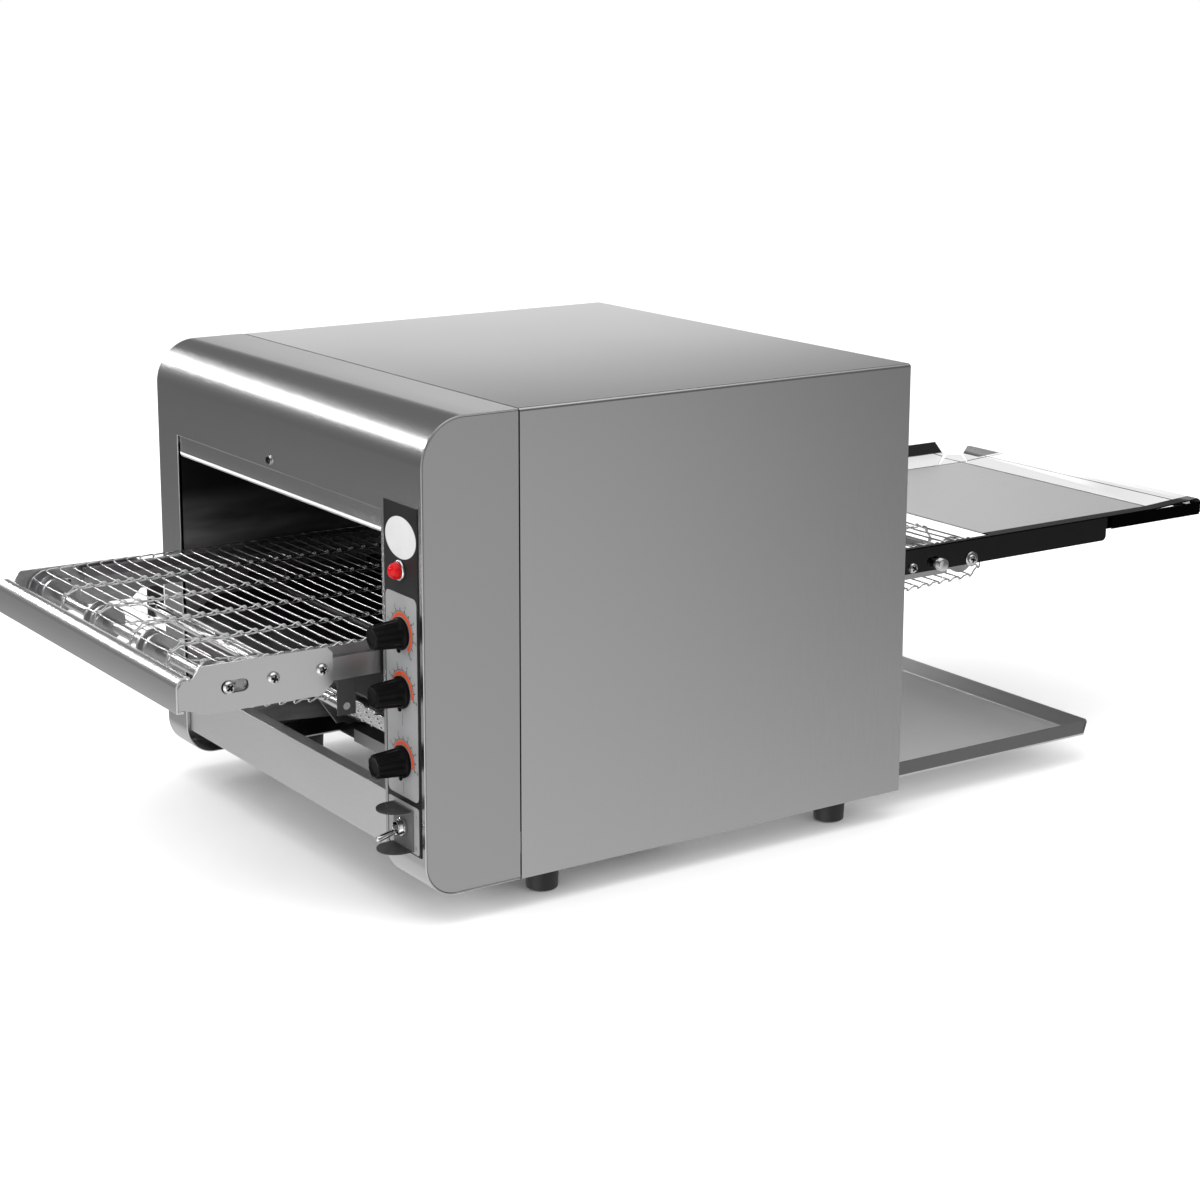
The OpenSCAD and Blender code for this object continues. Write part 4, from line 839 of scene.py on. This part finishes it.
screw = {
    "headR": 5.0, "height": 3.4, "fall": 0.72, "arm": 2.9 / 4.6, "armHalf": 0.8 / 4.6, "depth": 2.0,
    "flanks": (0.25, 0.9), "rows": 20, "sides": 72, "mark": (0.9, 0.3, 0.72), "shankR": 2.0, "shank": 1.9,
    "shankSides": 24, "coils": 5, "coilR": 6.0, "coilSides": 48, "washer": (7.0, 0.2, 1.1), "axleLift": 0.25,
    "block": (-9.0, 21.0, 8.0, 3.9), "blockR": 1.2, "shaftR": 4.1, "level": 179.6, "axle": 178.5,
    "infeed": (-94.2, -52.5), "outfeed": (547.0, 577.0), "ends": (-132.0, 618.0),
    "flap": {"headR": 3.9, "height": 2.9, "spin": 65, "x": -14.0, "z": 308.0, "shank": 5},
}


# A pan head with a cross recess, its axis along the third axis: the height falls off with the fifth power of
# the radius, and drops inside the two crossed arms, whose length and half width are shares of the radius.
def panHead(radius, height, spin):
    r = np.linspace(0.02, 1, screw["rows"])[::-1, None] ** 0.8 * radius
    turn = np.arange(screw["sides"])[None, :] * 2 * math.pi / screw["sides"]
    x, y = r * np.cos(turn), r * np.sin(turn)
    pan = height * (1 - screw["fall"] * (r / radius) ** 5) * np.ones_like(turn)
    a = math.radians(spin)
    u, v = np.abs(x * math.cos(a) + y * math.sin(a)), np.abs(y * math.cos(a) - x * math.sin(a))
    armHalf, arm = screw["armHalf"] * radius, screw["arm"] * radius
    along, aside = np.maximum(u, v), np.minimum(u, v)
    flank, end = screw["flanks"]
    inside = np.clip((armHalf - aside) / flank + 0.5, 0, 1) * np.clip((arm - along) / end, 0, 1)
    top = np.stack([x, y, pan - screw["depth"] * inside], -1).reshape(-1, 3)
    skirt = np.stack([radius * np.cos(turn[0]), radius * np.sin(turn[0]), 0 * turn[0]], -1)
    faces = gridFaces(screw["rows"] + 1, screw["sides"], closeCols=True)
    return np.vstack([skirt, top]), faces


# The block that slides behind an infeed plate's slot: a rounded box with the shaft's hole through it.
def slidingBlock():
    back, ahead, half, thick = screw["block"]
    outline = roundedBox(back, ahead, -half, half, screw["blockR"])
    turn = np.arctan2(outline[:, 1], outline[:, 0])
    hole = screw["shaftR"] * np.stack([np.cos(turn), np.sin(turn)], -1)
    rows = [(outline, -thick), (outline, 0.0), (hole, 0.0), (hole, -thick)]
    points = np.vstack([np.column_stack([ring, np.full(len(ring), depth)]) for ring, depth in rows])
    return points, gridFaces(4, len(outline), True, True)


# One inside a head's recess and nought elsewhere, for the painted shade of its cross: the points above the
# shank, a little below the pan and off the rim.
def recessShade(points):
    floor, under, share = screw["mark"]
    r = np.hypot(points[:, 0], points[:, 1])
    pan = screw["height"] * (1 - screw["fall"] * np.clip(r / screw["headR"], 0, 1) ** 5)
    inside = (points[:, 2] > floor) & (points[:, 2] < pan - under) & (r < share * screw["headR"])
    return inside.astype(np.float32)


# A screw's shank: a closed round bar along the third axis, from just inside the head back.
def shankBar(length):
    radius, high = screw["shankR"], 0.3
    profile = [[0.01, -length], [radius, -length], [radius, high], [0.01, high]]
    return lathe(profile, screw["shankSides"])


# Screws of the belt's frame: heads outwards on both side plates, on the right also a washer and a stack of
# nuts, and the sliding blocks that hold the nose roller's shaft.
def makeFrameScrews():
    shapes, shades, sides = [], [], screw["coilSides"]
    outer = tunnel["frameHalf"] + tunnel["plate"]
    places = [(y, screw["level"], 0.0) for y in screw["infeed"] + screw["outfeed"]]
    places += [(y, screw["axle"], screw["axleLift"]) for y in screw["ends"]]
    for side in (-1, 1):
        for n, (y, z, lift) in enumerate(places):
            spin = 20 + 37 * n + 50 * side
            stack = [panHead(screw["headR"], screw["height"], spin), shankBar(screw["shank"])]
            if side > 0 and y == screw["outfeed"][1]:
                r = screw["coilR"]
                for low in screw["height"] - 0.1 + np.arange(screw["coils"]):
                    coil = [[0.01, low], [r - 1.2, low], [r, low + 0.35], [r, low + 0.65], [r - 1.2, low + 1]]
                    stack.append(lathe(coil + [[0.01, low + 1]], sides))
            if side > 0 and y == screw["ends"][1]:
                r, low, high = np.array(screw["washer"]) - [0, lift, lift]
                stack.append(lathe([[2, low], [r, low], [r, high], [2, high]], sides))
            points, faces = joined(stack)
            shades.append(recessShade(points))
            points = points + [0, 0, lift]
            x = tunnel["middle"] + side * (outer + points[:, 2])
            shapes.append((np.stack([x, y + side * points[:, 0], z + points[:, 1]], -1), faces))
        points, faces = slidingBlock()
        shades.append(np.zeros(len(points), np.float32))
        x = tunnel["middle"] + side * (tunnel["frameHalf"] - 0.1 + points[:, 2])
        place = np.stack([x, screw["ends"][0] + points[:, 0], screw["axle"] + points[:, 1]], -1)
        shapes.append((place, faces if side > 0 else faces[:, ::-1]))
    points, faces = joined(shapes)
    meshPiece("frameScrews", "conveyor_screws", points, faces, shade=np.concatenate(shades))


# One screw in each flap's slot, on the hood's front and on the rear panel.
def makeFlapScrews():
    head, shapes, shades = screw["flap"], [], []
    for y, side in ((0.0, -1), (casing["depth"] + 0.3, 1)):
        pan = panHead(head["headR"], head["height"], head["spin"])
        points, faces = joined([pan, shankBar(head["shank"])])
        shades.append(recessShade(points))
        x, z = head["x"] - side * points[:, 0], head["z"] + points[:, 1]
        shapes.append((np.stack([x, y + side * points[:, 2], z], -1), faces))
    points, faces = joined(shapes)
    meshPiece("flapScrews", "flap_screws", points, faces, shade=np.concatenate(shades))


makeFrameScrews()
makeFlapScrews()
print("screws made")

label = {
    "face": 0.8, "lift": 0.06, "field": (181.3, 229.0, 76.8, 239.5, 5.0),
    "box": (181.3, 228.8, 34.0, 72.6, 2.5), "badge": (206.0, 284.0, 23.5, 16.5), "band": (13.6, 16.6),
    "rim": (17.3, 17.75), "rimShort": 4, "steps": 40, "tick": (17.6, 20.2), "tickWide": 0.75,
    "numeral": 22.2, "size": 3.4, "line": (0.2, 27.0, 17.0),
    "film": {"rough": 0.5, "scale": 1500, "bump": 0.03, "shine": 0.2},
    "dials": ((208.5, 158, -52, 11), (161.5, 150, -12, 9), (105.5, 150, -12, 9)),    # z, first, last, ticks
    "onOff": (("I", 3.2, 224.9, 65.0), ("O", 3.2, 224.2, 39.3)),
}


# Flat outlines of (x, z) points as faces just in front of the label; lift sets them in layers.
def printPiece(name, outlines, material, lift=1):
    flat = np.vstack(outlines)
    points = np.insert(flat, 1, -label["face"] - lift * label["lift"], axis=1)
    ends = np.cumsum([len(outline) for outline in outlines])
    faces = [list(range(end - len(outline), end)) for outline, end in zip(outlines, ends)]
    mesh = bpy.data.meshes.new(name)
    mesh.from_pydata(toRow(points).tolist(), [], faces)
    mesh.update()
    finishPiece(linkedObject(name, mesh), "control_label", material, standsFor=False)


# Out along one arc and back along another.
def bandOutline(x, z, inner, outer, first, last):
    out = arcPoints((x, z), outer, first, last, label["steps"])
    return np.vstack([out, arcPoints((x, z), inner, last, first, label["steps"])])


# A thin upright box turned about the dial's middle.
def tickOutline(x, z, inner, outer, angle, width):
    a, half = math.radians(angle), width / 2
    box = np.array([[inner, -half], [outer, -half], [outer, half], [inner, half]])
    return box @ np.array([[math.cos(a), math.sin(a)], [-math.sin(a), math.cos(a)]]) + [x, z]


# Numerals are text turned into a mesh at the origin, then set at their places on the label.
def makeNumerals(marks, material):
    shapes = []
    for text, size, x, z in marks:
        curve = bpy.data.curves.new("numeral", "FONT")
        curve.body = text
        curve.size = size
        curve.align_x, curve.align_y = "CENTER", "CENTER"
        curve.resolution_u = 2
        holder = linkedObject("numeral", curve)
        mesh = bpy.data.meshes.new_from_object(holder)
        bpy.data.objects.remove(holder)
        place = pointsOf(mesh)[:, :2] + [x, z]
        shapes += [place[list(polygon.vertices)] for polygon in mesh.polygons]
    printPiece("labelNumerals", shapes, material, 3)


# Pale fields and a blank badge, and round each knob an orange band, a rim, ticks at even turns and a numeral
# at every second tick. The two lower dials have a short line below them.
def makeLabel():
    x, film = stripX, label["film"]
    field = moulded("labelField", (0.27, 0.272, 0.275), tone=0.04, **film)
    pale = moulded("badgeFilm", (0.55, 0.55, 0.55), tone=0.03, **film)
    ink = moulded("labelInk", (0.010, 0.010, 0.0105), **film)
    orange = moulded("dialOrange", (0.62, 0.075, 0.02), **film)
    bx, bz, rx, rz = label["badge"]
    printPiece("labelFields", [roundedBox(*label["field"]), roundedBox(*label["box"])], field)
    turn = np.linspace(0, 2 * math.pi, 72, endpoint=False)
    printPiece("badgeBlank", [np.stack([bx + rx * np.cos(turn), bz + rz * np.sin(turn)], -1)], pale)
    bands, lines, marks = [], [], []
    for n, (z, first, last, count) in enumerate(label["dials"]):
        bands.append(bandOutline(x, z, *label["band"], first, last))
        short, (half, low, high) = label["rimShort"], label["line"]
        lines.append(bandOutline(x, z, *label["rim"], first + short, last - short))
        for k, angle in enumerate(np.linspace(first, last, count)):
            lines.append(tickOutline(x, z, *label["tick"], angle, label["tickWide"]))
            if k % 2 == 0:
                a, out = math.radians(angle), label["numeral"]
                marks.append((str(k), label["size"], x + out * math.cos(a), z + out * math.sin(a)))
        if n:
            line = [[x - half, z - low], [x + half, z - low], [x + half, z - high], [x - half, z - high]]
            lines.append(line)
    marks += label["onOff"]
    printPiece("dialBands", bands, orange, 2)
    printPiece("dialLines", lines, ink, 2)
    makeNumerals(marks, ink)


makeLabel()
print("label made")

# Lights: name, place, aim, size, watts, and whether the metal mirrors it. Lobes: axis, cosines of the angles
# where it starts and where it is full, and strength.
studio = {
    "floor": 14.0, "below": 0.0005, "ambient": 1.10, "base": 0.16,
    "lights": [
        ("keyAbove", (0.4, -0.6, 2.6), (0, 0, 0.1), (2.4, 2.4), 34, False),
        ("bendStrip", (-2.7, -1.6, 1.42), (0, -0.33, 0.38), (3.2, 0.17), 26, True),
        ("rightFill", (2.6, 1.2, 1.4), (0, 0.1, 0.15), (2.2, 1.6), 22, False),
        ("frontFill", (-0.6, -3.2, 1.2), (0, 0, 0.1), (2.0, 1.2), 14, False),
    ],
    "lobes": [
        ((-0.834, 0.542, -0.105), 0.938, 0.963, 1.0),    # the top's white, from behind on the left
        ((0.868, 0.471, -0.15), 0.968, 1.0, 0.43),       # the side's glow
        ((0.0, 0.0, -1.0), 0.172, 0.45, 0.56),           # the floor
        ((0.0, 0.0, 1.0), 0.62, 0.95, 1.2),              # the ceiling
        ((0.3, -0.93, -0.2), 0.72, 0.97, 1.0),           # upright rims, from the front
    ],
}


# A wide pale square just under the feet.
def makeFloor():
    mat, tree, shader, place = newMaterial("paleFloor")
    slow = noiseOf(tree, place, 3.0)
    tone = blendColours(tree, remap(tree, slow, 0, 1), (0.93, 0.93, 0.93), (0.95, 0.95, 0.95))
    link(tree, tone, shader.inputs["Base Color"])
    shader.inputs["Roughness"].default_value = 0.9
    shader.inputs["Specular IOR Level"].default_value = 0.0
    size = studio["floor"]
    mesh = bpy.data.meshes.new("floor")
    corners = [(-size, -size, 0), (size, -size, 0), (size, size, 0), (-size, size, 0)]
    mesh.from_pydata(corners, [], [(0, 1, 2, 3)])
    mesh.materials.append(mat)
    floor = linkedObject("floor", mesh)
    floor.location.z = float(cadLow.z) - studio["below"]
    floor.visible_glossy = False      # the metal mirrors the studio's tones, not an endless floor


# A rectangular light turned towards its aim.
def areaLight(name, place, aim, size, energy, mirrored):
    data = bpy.data.lights.new(name, "AREA")
    data.shape = "RECTANGLE"
    data.size, data.size_y = size
    data.energy = energy
    light = linkedObject(name, data)
    light.location = place
    light.rotation_euler = (Vector(aim) - Vector(place)).to_track_quat("-Z", "Y").to_euler()
    light.visible_camera = False
    light.visible_glossy = mirrored


# The studio's tones by direction, for what the metal mirrors: a base plus soft lobes, each a smooth step of
# the cosine of the angle from its axis. The camera and matt surfaces see an even white studio.
def makeWorld():
    world = bpy.data.worlds.new("studio")
    bpy.context.scene.world = world
    world.use_nodes = True
    tree = world.node_tree
    background = tree.nodes["Background"]
    background.inputs["Color"].default_value = (1, 1, 1, 1)
    coord = tree.nodes.new("ShaderNodeTexCoord")
    total = studio["base"]
    for axis, start, stop, strength in studio["lobes"]:
        dot = tree.nodes.new("ShaderNodeVectorMath")
        dot.operation = "DOT_PRODUCT"
        dot.inputs[1].default_value = Vector(axis).normalized()
        link(tree, coord.outputs["Generated"], dot.inputs[0])
        lobe = remap(tree, dot.outputs["Value"], 0, strength, start, stop)
        lobe.node.interpolation_type = "SMOOTHSTEP"
        total = mathNode(tree, "ADD", lobe, total)
    rays = tree.nodes.new("ShaderNodeLightPath")
    for kind, strength in (("Is Diffuse Ray", studio["ambient"]), ("Is Camera Ray", 1.0)):
        seen = tree.nodes.new("ShaderNodeMix")
        link(tree, rays.outputs[kind], seen.inputs[0])
        link(tree, total, seen.inputs[2])
        seen.inputs[3].default_value = strength
        total = seen.outputs[0]
    link(tree, total, background.inputs["Strength"])


makeFloor()
makeWorld()
for one in studio["lights"]:
    areaLight(*one)

cameraPlace = {
    "x": 1.8164, "y": -1.2816, "z": 0.736, "azimuth": 56.47, "pitch": 12.25, "focal": 2484.75, "frame": 1200,
    "sensor": 36, "shiftX": 0.0239, "shiftY": -0.08, "clip": (0.05, 60),
}


# The lens is the focal length in pixels of the frame, times the sensor over the frame.
def makeCamera():
    data = bpy.data.cameras.new("camera")
    data.sensor_width = cameraPlace["sensor"]
    data.lens = cameraPlace["focal"] * cameraPlace["sensor"] / cameraPlace["frame"]
    data.shift_x, data.shift_y = cameraPlace["shiftX"], cameraPlace["shiftY"]
    data.clip_start, data.clip_end = cameraPlace["clip"]
    camera = linkedObject("camera", data)
    camera.location = [cameraPlace[k] for k in "xyz"]
    camera.rotation_euler = (math.radians(90 - cameraPlace["pitch"]), 0, math.radians(cameraPlace["azimuth"]))
    bpy.context.scene.camera = camera


makeCamera()
bpy.context.scene.view_settings.view_transform = "Standard"
print("studio made")
